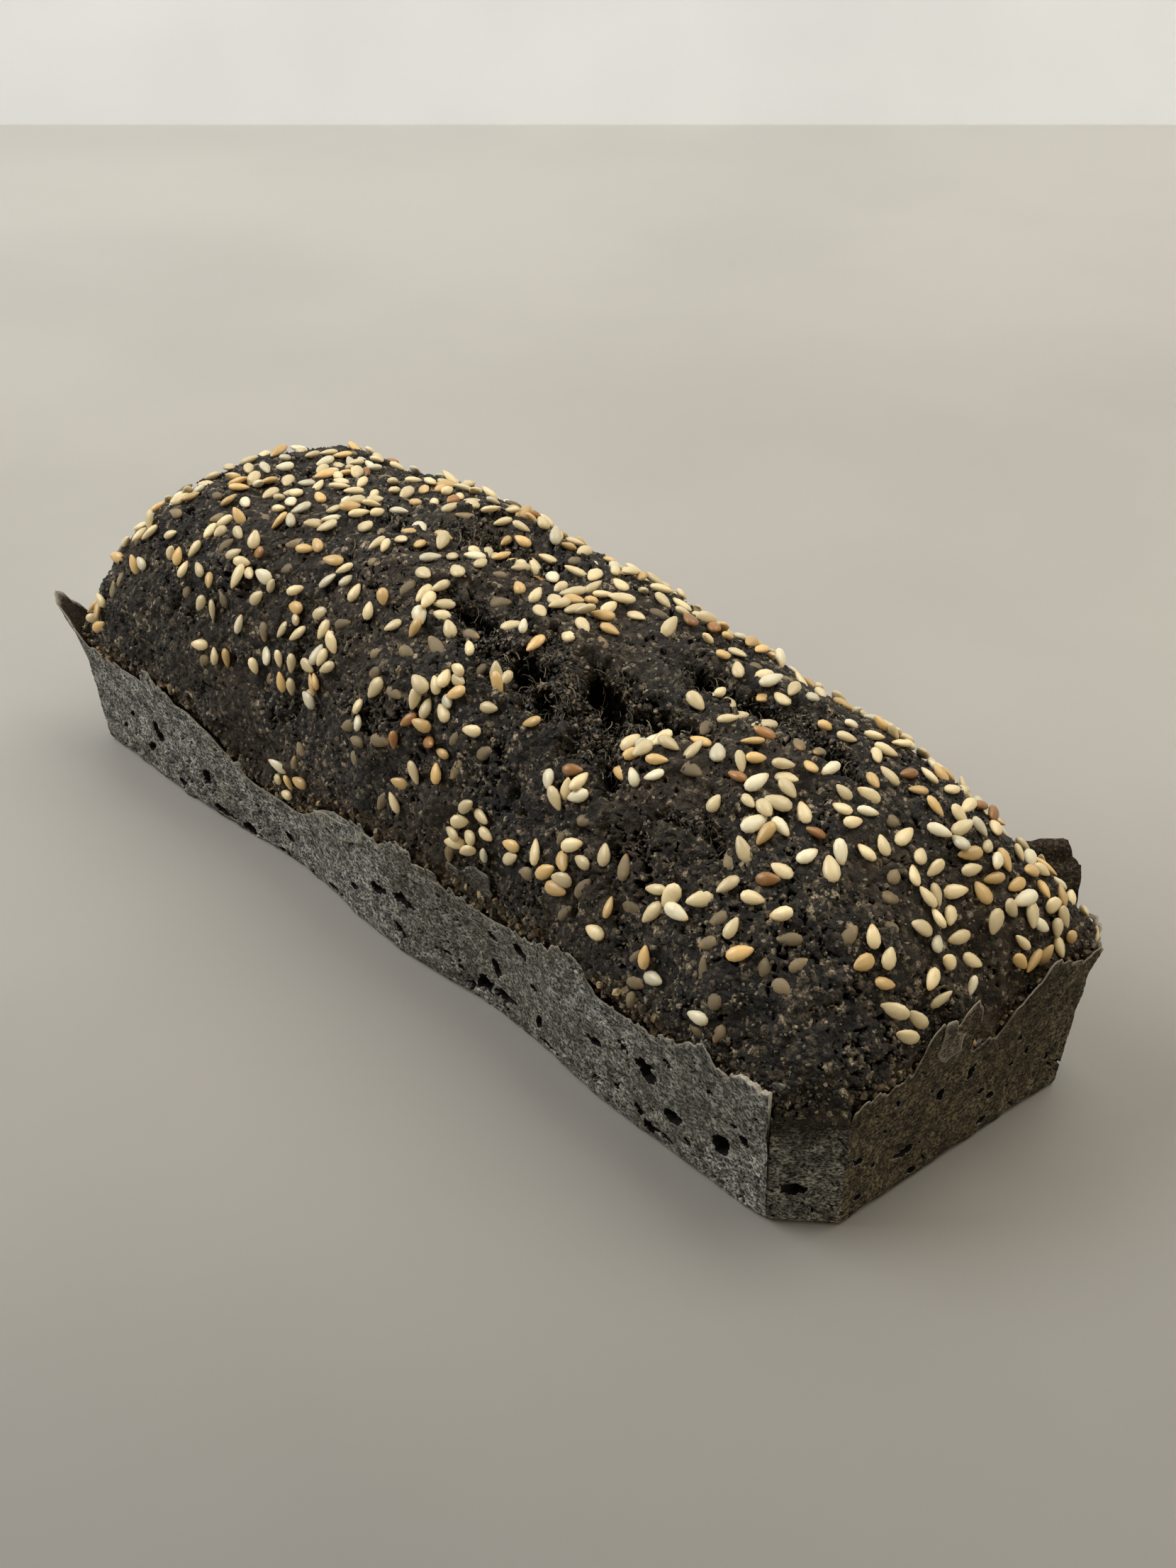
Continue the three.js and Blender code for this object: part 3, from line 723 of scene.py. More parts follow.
# The side crust: the grey, paper-thin skin that the tin gave the dough. It is flat and
# stippled like felt, riddled with burst bubbles, and where it stuck to the tin above the
# dough it stands free as a ragged sheet. Each side is a piece of its own.
RIM_OUTLINES = {
    "near": [
        (-84, 26.3), (-82.6, 25), (-81.4, 23.3), (-80.3, 21), (-79, 19), (-73.9, 19), (-70.3, 19.4),
        (-66.5, 19.1), (-63.2, 18.1), (-62.8, 21), (-60, 21.9), (-58.2, 20.6), (-57, 21.4),
        (-55.4, 20.5), (-53.4, 17.2), (-48.4, 16.2), (-43.1, 14.8), (-42.1, 12.8), (-38.9, 14.8),
        (-38, 13.6), (-37.5, 11.4), (-32.7, 11.7), (-24.8, 11.5), (-19.2, 13.1), (-17.4, 15.1),
        (-12.6, 18.1), (-8.8, 18.1), (-3.9, 20.5), (-3.7, 18.5), (-0.4, 19.2), (3.6, 21.6),
        (6.6, 21.8), (6.8, 19.8), (9, 18.9), (13, 18.8), (15.4, 17.6), (25.6, 17.2), (30, 18.7),
        (36.2, 20.3), (37.8, 22.6), (40, 23.6), (42.1, 23.6), (44.2, 22.6), (44.5, 20.7),
        (46.2, 18.6), (53, 18.9), (58, 20.2), (62.4, 21.8), (66.1, 24.2), (67.4, 25.8), (68, 24),
        (70.3, 21.7), (71.3, 22.1), (71.6, 23.4), (73.7, 24.5), (78.6, 24.6),
    ],
    "right": [
        (-23, 19.6), (-19, 21.1), (-17.4, 21.9), (-14.6, 21.2), (-11, 21), (-9.8, 23.9), (-8.8, 26.8),
        (-7.4, 27.7), (-5.2, 25.1), (-4.1, 25.3), (-3.2, 27.2), (-1.9, 28.3), (-0.2, 24.9),
        (0.1, 18.9), (0.8, 17.8), (4.6, 18), (5.7, 19.1), (6.5, 22), (8.6, 23.1), (10.9, 23.7),
        (12.3, 26.9), (13.4, 26.5), (16.2, 24.6), (20.4, 22.4), (22.2, 23), (25, 22.4), (28, 23),
    ],
    "far": [
        (-87, 20.5), (-80, 21.5), (-74, 19.2), (-66, 19.4), (-58, 21.3), (-50, 21.8), (-44, 19.6),
        (-36, 18.8), (-30, 20.4), (-22, 18.4), (-14, 19.2), (-6, 20.8), (0, 18.6), (6, 16.2),
        (12, 15.2), (22, 16.2), (29, 18.6), (34, 21), (39, 21.6), (43, 19), (50, 20.4), (56, 18.9),
        (62, 20.2), (66, 21.5), (66.8, 26.4), (68.4, 29), (73, 29.7), (75.2, 28), (76.4, 25.5),
        (77.2, 22.6), (79, 22.3), (82, 22), (85, 23.2),
    ],
    "left": [
        (-27.8, 26.3), (-26.5, 25), (-23.5, 20.8), (-17, 19), (-10, 18.9), (-4, 20.2), (0, 21.4),
        (4, 21.2), (7, 17.6), (12, 17.8), (16, 21.4), (20, 23.2), (23, 20.2), (28, 20.5),
    ],
}
LEAST_RIM = 0.35
RIM_FLARE = 0.12
RIM_TOP_THICKNESS = 0.16
RIM_FOOT_THICKNESS = 0.9
FREE_BELOW_EDGE = 1.5
FACET_TUCK = 0.3
FOLD_U = 1 - CORNER_CUTS[0][2] / (FOOT_LENGTH / 2)
CUT_SHARE = 0.15
CORNER_FADE = 4.0
BACKING = 3.0
INNER_ROWS = 9
CREST_ROWS = 5
CURLED_CORNER = {"reach": 6.0, "lean": 2.8, "height": 8.0}
HORN = {"thickness": 4.2, "starts": (64, 69), "ends": (75, 78), "low": 15.0}
SIDE_MESHES = {
    "near": {"columns": 820, "wall_rows": 74, "rim_rows": 28},
    "right": {"columns": 310, "wall_rows": 74, "rim_rows": 30},
    "far": {"columns": 480, "wall_rows": 46, "rim_rows": 24},
    "left": {"columns": 200, "wall_rows": 46, "rim_rows": 24},
}
# The burst bubbles: place along the wall, height, half length, half width, tilt and how deep
# and black each one is, the black being the crumb inside with painted shade in the hollow.
CAVITIES = {
    "near": [
        (-72.6, 6.4, 0.9, 0.5, 43, 0.7), (-69.2, 10, 0.9, 0.5, 43, 0.7), (-64.7, 5.7, 1.9, 0.7, 42, 0.6),
        (-61.4, 9.6, 1.9, 0.8, -62, 1), (-57, 2.3, 1.0, 0.6, -10, 0.6), (-48.8, 6.8, 1.6, 1.0, 78, 1),
        (-46.2, 1.9, 2.6, 0.8, -3, 1), (-39, 1.4, 2.2, 0.8, -4, 1), (-28.5, 4.9, 1.4, 0.6, -20, 1),
        (-31, 0.8, 1.6, 0.5, 0, 0.8), (-16.5, 1.6, 1.8, 0.5, -5, 0.8), (-20.6, 9.5, 0.8, 0.4, -30, 0.8),
        (-10.5, 14.6, 4.4, 0.45, 12, 1), (-9.1, 6.5, 1.1, 0.6, 12, 0.6), (-2.6, 9.8, 1.7, 1.0, 20, 1),
        (3.2, 11, 2.2, 1.0, -5, 1), (2.1, 4.5, 1.4, 0.7, -39, 1), (11.1, 5.5, 1.6, 0.25, -2, 0.9),
        (14.4, 4.2, 0.5, 0.3, -30, 0.9), (22, 13.8, 1.0, 0.5, -15, 1), (28.6, 15, 1.6, 0.9, -9, 1),
        (22.2, 8.4, 1.4, 0.9, -51, 1), (19.4, 4.1, 1.9, 1.4, 39, 1), (23.4, 4.2, 2.2, 1.0, 6, 0.75),
        (31.4, 10.5, 1.1, 0.5, -8, 1), (39, 16.6, 0.45, 0.35, 0, 1), (32.1, 5.4, 1.5, 0.8, 67, 0.65),
        (34, 1.9, 2.4, 0.45, -4, 0.9), (45, 10.3, 1.2, 0.8, -5, 0.75), (50.9, 13.1, 1.2, 0.45, -36, 1),
        (55.3, 11.8, 1.9, 1.5, -7, 1), (59.5, 15.9, 0.8, 0.55, -17, 1), (64.8, 19.6, 0.45, 0.35, 0, 1),
        (45.4, 4.1, 0.5, 0.45, 0, 1), (48.9, 5, 0.5, 0.45, 0, 1), (53.2, 3.7, 0.9, 0.5, -47, 1),
        (55, 2, 1.1, 0.7, -25, 1), (59.7, 7.2, 1.6, 1.1, -3, 1), (68.6, 8.1, 1.7, 1.2, 43, 1),
        (72.9, 11.7, 1.3, 0.7, -57, 1), (70.8, 10.3, 0.45, 0.4, 0, 1), (71.2, 13.1, 0.5, 0.4, 0, 1),
        (74.7, 15.1, 0.4, 0.3, 0, 1), (67.2, 16.2, 0.5, 0.4, 0, 1), (68.7, 20.2, 0.5, 0.4, 0, 0.8),
        (42.6, 14, 0.6, 0.3, -20, 0.9), (57.6, 2.4, 1.4, 0.5, -5, 0.9), (62.5, 4.6, 0.8, 0.4, -40, 0.9),
        (12, 16, 0.6, 0.3, -20, 0.7), (-36, 7.5, 0.7, 0.35, 10, 0.7),
    ],
    "right": [
        (-3.9, 12.8, 0.7, 1.0, 10, 1), (-5.9, 14.6, 0.5, 0.4, 0, 0.9), (-7.3, 1.9, 1.0, 0.5, -8, 1),
        (-9.6, 6.5, 1.4, 0.7, 5, 1), (-14.2, 12.4, 0.5, 0.3, 0, 1), (-6.3, 6.3, 0.4, 0.3, 0, 1),
        (1.6, 13.7, 0.7, 1.1, -20, 1), (4.8, 8.4, 0.8, 0.5, -10, 1), (7.1, 6.4, 0.9, 0.6, -20, 0.8),
        (6, 2.6, 1.0, 0.5, 0, 0.7), (10, 9.7, 0.6, 0.4, 0, 1), (10.9, 14.1, 0.6, 0.5, 0, 0.9),
        (13.2, 11, 0.5, 0.7, 0, 0.9), (18.5, 6.7, 0.5, 0.6, 0, 0.9), (-9, 12.2, 0.4, 0.3, 0, 1),
        (-16.8, 17.5, 0.4, 0.3, 0, 0.9), (-12.4, 16.1, 0.5, 0.3, 0, 0.9), (-18.1, 10, 0.8, 0.6, 0, 0.9),
        (-15.3, 7.6, 0.5, 0.3, 0, 1), (-17.4, 3.4, 0.6, 0.4, 0, 0.8), (-24.9, 6.4, 1.1, 0.9, -20, 1),
        (-28.3, 11.6, 0.9, 0.8, -20, 0.9),
    ],
    "far": [
        (-70, 9, 1.8, 1.0, -20, 1), (-58, 12, 1.0, 0.6, 10, 1), (-52, 4, 2.2, 1.0, -10, 1),
        (-41, 8, 0.9, 0.5, 30, 1), (-30, 12, 1.6, 0.8, -15, 1), (-20, 4, 1.2, 0.6, 20, 1),
        (-8, 7, 2.0, 1.2, -20, 1), (3, 12, 0.9, 0.6, 0, 1), (15, 3, 2.2, 0.9, -5, 1),
        (24, 9, 0.9, 0.5, 40, 1), (31, 12, 1.5, 0.8, -20, 1), (48, 7, 1.8, 1.2, -10, 1),
        (57, 12, 0.8, 0.5, 0, 1), (66, 9, 1.4, 0.9, 20, 1),
    ],
    "left": [
        (-14, 9, 1.4, 0.9, -20, 1), (-6, 13, 0.8, 0.5, 10, 1), (2, 5, 1.8, 0.8, -10, 1),
        (12, 12, 1.2, 0.8, 0, 1), (20, 6, 1.2, 0.9, 20, 1),
    ],
}
CAVITY_DEPTH = 1.8
PEEL = {"reach": 12.0, "low": 9.0, "proud": 0.7}


def side_columns(side, count):
    """The border places (u, v) of one side's columns, in order round the loaf"""
    t = np.linspace(0, 1, count)
    if side == "near":
        return -1 + (FOLD_U + 1) * t, -np.ones(count)
    if side == "right":
        on_cut = t < CUT_SHARE
        u = np.where(on_cut, FOLD_U + (1 - FOLD_U) * t / CUT_SHARE, 1)
        v = np.where(on_cut, -1, -1 + 2 * (t - CUT_SHARE) / (1 - CUT_SHARE))
        return u, v
    if side == "far":
        return 1 - 2 * t, np.ones(count)
    return -np.ones(count), 1 - 2 * t


def wall_facing(u, v):
    """The way the wall faces, turning evenly round its corners"""
    to_end = 1 - smooth_step(0, CORNER_FADE, (1 - np.abs(u)) * FOOT_LENGTH / 2)
    to_side = 1 - smooth_step(0, CORNER_FADE, (1 - np.abs(v)) * FOOT_WIDTH / 2)
    return unit(np.stack([np.sign(u) * to_end, np.sign(v) * to_side, 0 * u], axis=-1))


def side_wall(side, columns, wall_rows, rim_rows):
    """One side of the crust as rings of points, one ring a column, with its values"""
    u, v = side_columns(side, columns)
    facing = wall_facing(u, v)
    foot_x, foot_y = plan_point(u, v, 0.0, 0.0)
    line = np.stack([foot_x, foot_y, 0 * foot_x], axis=-1)
    axis, half_span = (0, FOOT_LENGTH / 2) if side in ("near", "far") else (1, FOOT_WIDTH / 2)
    edge = edge_height(u, v)
    outline = np.array(RIM_OUTLINES[side])
    outline_foot = outline[:, 0] * half_span / (half_span + WALL_LEAN * outline[:, 1])
    long_steps = smooth_step(-0.1, 0.1, rough(line, 5.0, 2, 11))
    short_steps = smooth_step(-0.08, 0.08, rough(line, 2.2, 2, 9))
    teeth = 0.7 * rough(line, 1.5, 3, 12) + 0.6 * np.abs(rough(line, 0.7, 1, 10)) - 0.35
    top = np.interp(line[:, axis], outline_foot, outline[:, 1]) + 0.5 * (long_steps + short_steps - 1) + teeth
    top = np.maximum(edge + LEAST_RIM, top)
    on_facet = facet(u, v) * (side == "right")
    top = top * (1 - on_facet) + (edge + FACET_TUCK) * on_facet
    rise = np.maximum(top - edge, 0.05)
    horn = smooth_step(*HORN["starts"], foot_x) * (1 - smooth_step(*HORN["ends"], foot_x)) * (side == "far")
    curl_reach = CURLED_CORNER["reach"]
    at_curl = bump(foot_x + FOOT_LENGTH / 2, curl_reach) * bump(foot_y + FOOT_WIDTH / 2, curl_reach)

    free_from = edge - FREE_BELOW_EDGE
    wall_z = np.linspace(0, 1, wall_rows, endpoint=False)[:, None] * free_from
    rim_z = free_from + np.linspace(0, 1, rim_rows)[:, None] * (top - free_from)
    outer_z = np.concatenate([wall_z, rim_z])
    inner_t = np.linspace(0, 1, INNER_ROWS)[:, None]
    inner_z = top - 0.1 - inner_t * (top - 0.1 - free_from)
    thickness = RIM_TOP_THICKNESS + (RIM_FOOT_THICKNESS - RIM_TOP_THICKNESS) * np.minimum(1, inner_t * 1.6)
    thickness = thickness + HORN["thickness"] * horn
    curl = 0.9 * rough(line, 7.0, 2, 19) * np.clip(rise / 4, 0, 1) * (1 - horn)

    def placed(z, inset):
        above = np.maximum(0, z - edge)
        x, y = plan_point(u, v, z, inset - RIM_FLARE * above)
        lean = CURLED_CORNER["lean"] * at_curl * (above / CURLED_CORNER["height"]) ** 1.5
        places = np.stack([x - lean, y, z + 0 * x], axis=-1)
        return places + facing * (curl * np.clip(above / np.maximum(rise, 1), 0, 1) ** 2)[..., None]

    outer = placed(outer_z, 0 * outer_z)
    inner = placed(inner_z, thickness)
    crest_t = np.linspace(0, 1, CREST_ROWS + 2)[1:-1, None]
    crest = placed(top - 0.1 * crest_t, crest_t * thickness[0])
    crest[..., 2] += horn * (0.7 * rough(crest, 1.6, 3, 22) - 0.3)
    back_high = placed((free_from - 1)[None, :], np.full((1, columns), BACKING))
    back_low = placed(np.full((1, columns), 0.3), np.full((1, columns), BACKING))

    cavity = np.zeros(outer_z.shape)
    wobble = rough(outer, 1.0, 3, 15)
    for at, height, half_long, half_wide, tilt, share in CAVITIES[side]:
        turn = math.radians(tilt)
        aside = outer[..., axis] - at
        upward = outer_z - height
        along = (aside * math.cos(turn) + upward * math.sin(turn)) / half_long
        across = (upward * math.cos(turn) - aside * math.sin(turn)) / half_wide
        spread = np.hypot(along, across)
        cavity = np.maximum(cavity, np.clip((1.35 - spread + 0.45 * wobble) * share, 0, share))
    waves = 0.3 * rough(outer, 13.0, 2, 16) + 0.14 * rough(outer, 3.0, 2, 17)
    foot_round = 0.6 * np.exp(-outer_z / 0.5) * (1 + 0.8 * rough(outer, 3.0, 2, 18))
    push = waves - CAVITY_DEPTH * smooth_step(0.35, 0.8, cavity) - foot_round
    crag = horn * smooth_step(HORN["low"], HORN["low"] + 4, outer_z)
    push += crag * (0.8 * rough(outer, 2.6, 3, 23) - 0.3)
    if side == "near":
        towards_fold = smooth_step(foot_x[-1] - PEEL["reach"], foot_x[-1], foot_x)
        push += PEEL["proud"] * towards_fold * smooth_step(PEEL["low"], PEEL["low"] + 9, outer_z)
    outer = outer + facing * push[..., None]
    inner_push = waves[-1] + horn * (0.7 * rough(inner, 2.2, 3, 24) - 0.2)
    inner = inner + facing * inner_push[..., None]
    crest = crest + facing * (push[-1] * (1 - crest_t) + inner_push[0] * crest_t)[..., None]

    rings = np.concatenate([outer, crest, inner, back_high, back_low])
    hidden = ((0, len(rings) - len(outer)), (0, 0))
    gap = top - outer_z
    crest_paper = np.ones(crest.shape[:2])
    paper_inside = 1 - smooth_step(0, 0.1, inner_t) + 0 * inner_z
    no_paper = np.zeros((2, columns))
    fringe = 1 - smooth_step(0.05, 0.6, gap + 0.25 * rough(outer, 0.8, 2, 26))
    # The pale paper-thin top edge of the standing crust: its own paler colour and a painted highlight along
    # it.
    paper_and_highlight = np.concatenate([fringe, crest_paper, paper_inside, no_paper]) * (1 - on_facet) * (1 - horn)
    pit_bias = 0.05 * (1 - smooth_step(2, 12, outer_z)) + 0.05 * rough(outer, 15.0, 2, 21)
    # The horn at the far right corner is coloured dark brown: its own dark crumb and painted shade on its
    # inside and top.
    burnt_and_shaded = np.concatenate([crag, np.ones((CREST_ROWS + INNER_ROWS, columns)) * horn, no_paper])
    flush = on_facet * smooth_step(13.5, 18.5, outer_z + 1.5 * rough(outer, 4.0, 3, 27))
    values = {
        "facing": np.broadcast_to(facing, rings.shape),
        "relief": np.pad(0.2 + 0.8 * smooth_step(0.2, 1.5, gap) + crag, hidden),
        "paper_and_highlight": paper_and_highlight,
        "inside": np.pad(np.zeros(outer_z.shape), hidden, constant_values=1),
        "pit_bias": np.pad(pit_bias, hidden, constant_values=-0.5),
        "cavity": np.pad(cavity, hidden),
        "doughy": np.pad(flush, hidden),
        "burnt_and_shaded": burnt_and_shaded,
        # The right end is painted darker and warmer as painted shade, less so on the facet.
        "right_end_shade": float(side == "right") * (1 - 0.7 * on_facet) * np.ones(burnt_and_shaded.shape),
    }
    return np.swapaxes(rings, 0, 1), {key: np.swapaxes(value, 0, 1) for key, value in values.items()}


def wall_pitting(tree, place, bias):
    """Share from 0 to 1 of small burst bubbles, a little drawn out and slanting down the wall"""
    parts = add_node(tree, "ShaderNodeSeparateXYZ", _0=place).outputs
    sideways = math_node(tree, "ADD", parts[0], parts[1])
    height = math_node(tree, "MULTIPLY_ADD", sideways, 0.3, parts[2])
    drawn_out = vector_node(tree, "MULTIPLY", place, (0.6, 0.6, 0.0))
    where = vector_node(tree, "ADD", drawn_out, result(tree, "ShaderNodeCombineXYZ", _2=height))
    field = math_node(tree, "ADD", noise_node(tree, where, 1.2, 2.0, 0.55, 0.5), bias)
    return field, eased(tree, field, 0.675, 0.7)


def wall_relief_tree():
    """Geometry Nodes that raise the side crust's felt and sink its bubbles"""
    tree, entry = new_tree("side crust relief", ("Felt Height", "Bubble Depth"))
    held, place = kept_place(tree, entry["Geometry"])
    _, bubble = wall_pitting(tree, place, point_value(tree, "pit_bias"))
    stretched = vector_node(tree, "MULTIPLY", place, (0.85, 0.85, 1.15))
    felt = math_node(tree, "SUBTRACT", noise_node(tree, stretched, 0.7, 2.0, 0.6), 0.5)
    raised = math_node(tree, "MULTIPLY", felt, entry["Felt Height"])
    sunk = math_node(tree, "MULTIPLY", bubble, entry["Bubble Depth"])
    change = math_node(tree, "SUBTRACT", raised, sunk)
    return finish_tree(tree, pushed(tree, held, change), entry)


CRUST_DARK = (0.0155, 0.015, 0.0135)
CRUST_GREY = (0.172, 0.169, 0.154)
CRUST_PALE = (0.44, 0.435, 0.39)
CRUST_BROWN = (0.058, 0.046, 0.022)
# Warm painted shade, multiplied over the right end's crust.
RIGHT_END_SHADE_TINT = (0.37, 0.3, 0.19)
# Pale colour of the thin crust edges, partly a painted highlight.
PAPER_EDGE_AND_HIGHLIGHT = (0.5, 0.45, 0.36)
BEHIND_DARK = (0.007, 0.005, 0.003)
BEHIND = (0.045, 0.031, 0.017)
# Dark browns of the horn: its crumb, darkened as painted shade.
BURNT_SHADE_DARK = (0.004, 0.003, 0.002)
BURNT_SHADE = (0.03, 0.021, 0.011)
BURNT_SHADE_PALE = (0.14, 0.105, 0.06)


def side_material():
    material, tree, shader = new_material("side_crust")
    rest = named_value(tree, "rest", 1)
    paper_and_highlight = named_value(tree, "paper_and_highlight")
    inside = named_value(tree, "inside")
    field, bubble = wall_pitting(tree, rest, named_value(tree, "pit_bias"))
    ragged = noise_node(tree, rest, 0.6, 3.0, 0.6)
    opened = math_node(tree, "MULTIPLY_ADD", ragged, 0.4, named_value(tree, "cavity"))
    lip = eased(tree, opened, 0.3, 0.42, 0.0, 0.35)
    opened = eased(tree, opened, 0.45, 0.5)
    stretched = vector_node(tree, "MULTIPLY", rest, (0.85, 0.85, 1.15))
    grain = noise_node(tree, stretched, 0.42, 4.0, 0.7, 0.4)
    off_fleck, fleck_draw = grains(tree, rest, MEAL_SIZE)
    base = colour_ramp(tree, grain, [(0.41, CRUST_DARK), (0.5, CRUST_GREY), (0.59, CRUST_PALE)])
    patchy = noise_node(tree, rest, 2.2, 3.0, 0.65)
    base = shaded(tree, base, eased(tree, patchy, 0.34, 0.66, 0.45, 1.5))
    is_fleck = eased(tree, fleck_draw, 0.7, 0.75)
    dark_fleck = math_node(tree, "MULTIPLY", is_fleck, eased(tree, off_fleck, 0.18, 0.3, 0.8, 0.0))
    brown = eased(tree, noise_node(tree, rest, 22.0), 0.42, 0.62, 0.0, 0.35)
    base = layered(tree, base, [(dark_fleck, CRUST_DARK), (brown, CRUST_BROWN)])
    # Painted shade: the right end's crust multiplied darker and warmer.
    base = mixed(tree, named_value(tree, "right_end_shade"), base, RIGHT_END_SHADE_TINT, "MULTIPLY")
    crumb = colour_ramp(tree, grain, [(0.38, CHARCOAL_DEEP), (0.52, CHARCOAL), (0.66, CHARCOAL_MEAL)])
    behind = colour_ramp(tree, grain, [(0.38, BEHIND_DARK), (0.62, BEHIND)])
    charred_and_shaded = colour_ramp(tree, grain, [(0.4, BURNT_SHADE_DARK), (0.52, BURNT_SHADE), (0.68, BURNT_SHADE_PALE)])
    off_paper = math_node(tree, "SUBTRACT", 1.0, paper_and_highlight)
    # The bubbles and opened cavities are painted near black: black crumb inside and painted shade in the
    # hollow.
    hole_black_and_shade = math_node(tree, "MAXIMUM", bubble, opened)
    base = layered(tree, base, [
        (named_value(tree, "doughy"), crumb),
        (eased(tree, field, 0.64, 0.69, 0.0, 0.35), CRUST_PALE),
        (lip, CRUST_PALE),
        # Pale thin edges: their own colour and a painted highlight.
        (math_node(tree, "MULTIPLY", paper_and_highlight, 0.6), PAPER_EDGE_AND_HIGHLIGHT),
        (math_node(tree, "MULTIPLY", inside, off_paper), behind),
        # The horn: dark crumb and painted shade.
        (named_value(tree, "burnt_and_shaded"), charred_and_shaded),
        (hole_black_and_shade, PIT_BLACK_AND_SHADE),
    ])
    fine = noise_node(tree, rest, 0.22)
    height = weighed(tree, [(fine, 0.6), (grain, 1.5), (hole_black_and_shade, -1.2)])
    finish_surface(tree, shader, base, 0.85, height, 0.8, 0.25)
    shader.inputs["Specular IOR Level"].default_value = 0.25
    return material


side_finish = side_material()
side_tree = wall_relief_tree()
for side, sizes in SIDE_MESHES.items():
    rings, values = side_wall(side, **sizes)
    crust = closed_tube(f"{side}_side_crust", rings, values)
    apply_tree(crust, side_tree, Felt_Height=0.32 * MM, Bubble_Depth=0.9 * MM, Finish=side_finish)
    dress(crust)


# The foot: the flat underside that lay on the bottom of the tin. It has the same grey skin,
# stippled and pitted, and closes the loaf between its four sides.
FOOT_CELLS = (150, 50)
FOOT_INSET = 1.5
FOOT_THICKNESS = 0.9
FOOT_CLEAR = 0.1

foot_lines = [np.linspace(-1, 1, count) for count in FOOT_CELLS]
foot_u, foot_v = np.meshgrid(*foot_lines, indexing="ij")
foot_x, foot_y = plan_point(foot_u, foot_v, 0.0, FOOT_INSET)
foot_low = np.stack([foot_x, foot_y, FOOT_CLEAR + 0 * foot_x], axis=-1)
foot_low[..., 2] += FOOT_CLEAR * np.maximum(0, 1 + rough(foot_low, 12.0, 3, 31))
foot_high = foot_low + (0, 0, FOOT_THICKNESS)
foot_rings = np.concatenate([foot_high, foot_low[:, ::-1]], axis=1)
low_side = np.concatenate([np.zeros(foot_u.shape), np.ones(foot_u.shape)], axis=1)
foot_values = {
    "facing": np.broadcast_to((0.0, 0.0, -1.0), foot_rings.shape),
    "relief": 0.6 * low_side,
    "inside": 1 - low_side,
    "pit_bias": 0.02 * low_side,
}
foot = closed_tube("foot_crust", foot_rings, foot_values)
apply_tree(foot, side_tree, Felt_Height=0.22 * MM, Bubble_Depth=0.9 * MM, Finish=side_finish)
dress(foot)


# The loose flakes: scraps of the dry tin crust that tore off the rim as the dough rose. Some
# still hang on the rim and lean out, others stuck to the crown's flank or its top. A flake is
# where it lies, its outline there, how far its low and high edges stand off, and how brown it is.
FLAKES = [
    ("right", [(-7.4, 21.6), (-5, 19), (-2.4, 19.6), (-2.6, 22.6), (-4.6, 24), (-5, 26), (-7, 27.2)],
     (0.3, 0.9), 0.1),
    ("near", [(13.2, 19), (17, 18.2), (21.5, 18.5), (23, 21), (22.4, 24.2), (19.6, 24.6), (16.4, 22.4)],
     (-0.9, -0.3), 0.6),
    ("near", [(14.2, 21.6), (16, 21.2), (16.9, 22.8), (15, 23.4)], (-0.4, 0.3), 0.4),
    ("near", [(10.8, 18.3), (12, 18.1), (12.5, 20.3), (11.2, 20.6)], (0.1, 0.8), 0.2),
    ("near", [(9, 18.4), (10.3, 18.2), (10.6, 20.2), (9.4, 20.4)], (0.1, 0.7), 0.2),
    ("near", [(38.1, 22), (40.3, 21.6), (40.8, 24.4), (39.4, 26), (38.3, 24.6)], (-1.5, -1.7), 0.5),
    ("near", [(64.8, 22), (66.4, 22), (66.6, 24.4), (65.3, 25)], (-1.0, -1.4), 0.3),
    ("near",
     [(-18.7, 15.4), (-15, 14.6), (-9.5, 14.9), (-4.4, 16.9), (-5, 18.3), (-10, 17.6), (-16, 16.6)],
     (0.5, 0.05), 0.0),
    ("near", [(76.6, 20.4), (79, 20.2), (79.8, 22.4), (78.2, 23.6), (76.4, 22.8)], (-1.6, -1.7), 0.7),
    ("crown", [(75.4, -9.2), (77.6, -9.6), (78.4, -7.4), (76.2, -7)], (0.15, 0.5), 0.8),
    ("crown", [(61.2, -15), (63.4, -15.6), (64, -13.6), (62, -13.2)], (0.15, 0.4), 0.9),
]
FLAKE_THICKNESS = 0.2
FLAKE_COLUMNS = 48
FLAKE_SHARES = (0.3, 0.6, 0.85, 1.0, 1.0, 0.85, 0.6, 0.3)


def laid_on(where, along, height, off):
    """Points this far off the near wall or the right end, or off the crown, whose plan they give"""
    if where == "crown":
        found = [crown_spot(x, y) for x, y in zip(along.ravel(), height.ravel())]
        spots, ways = np.array(found).reshape(along.shape + (2, 3)).transpose(2, 0, 1, 3)
        return spots + ways * off[..., None]
    if where == "near":
        u, v, way = along / (FOOT_LENGTH / 2 + WALL_LEAN * height), -np.ones(along.shape), (0, -1, 0)
    else:
        u, v, way = np.ones(along.shape), along / (FOOT_WIDTH / 2 + WALL_LEAN * height), (1, 0, 0)
    x, y = plan_point(u, v, height, 0.0)
    return np.stack([x, y, height], axis=-1) + off[..., None] * way


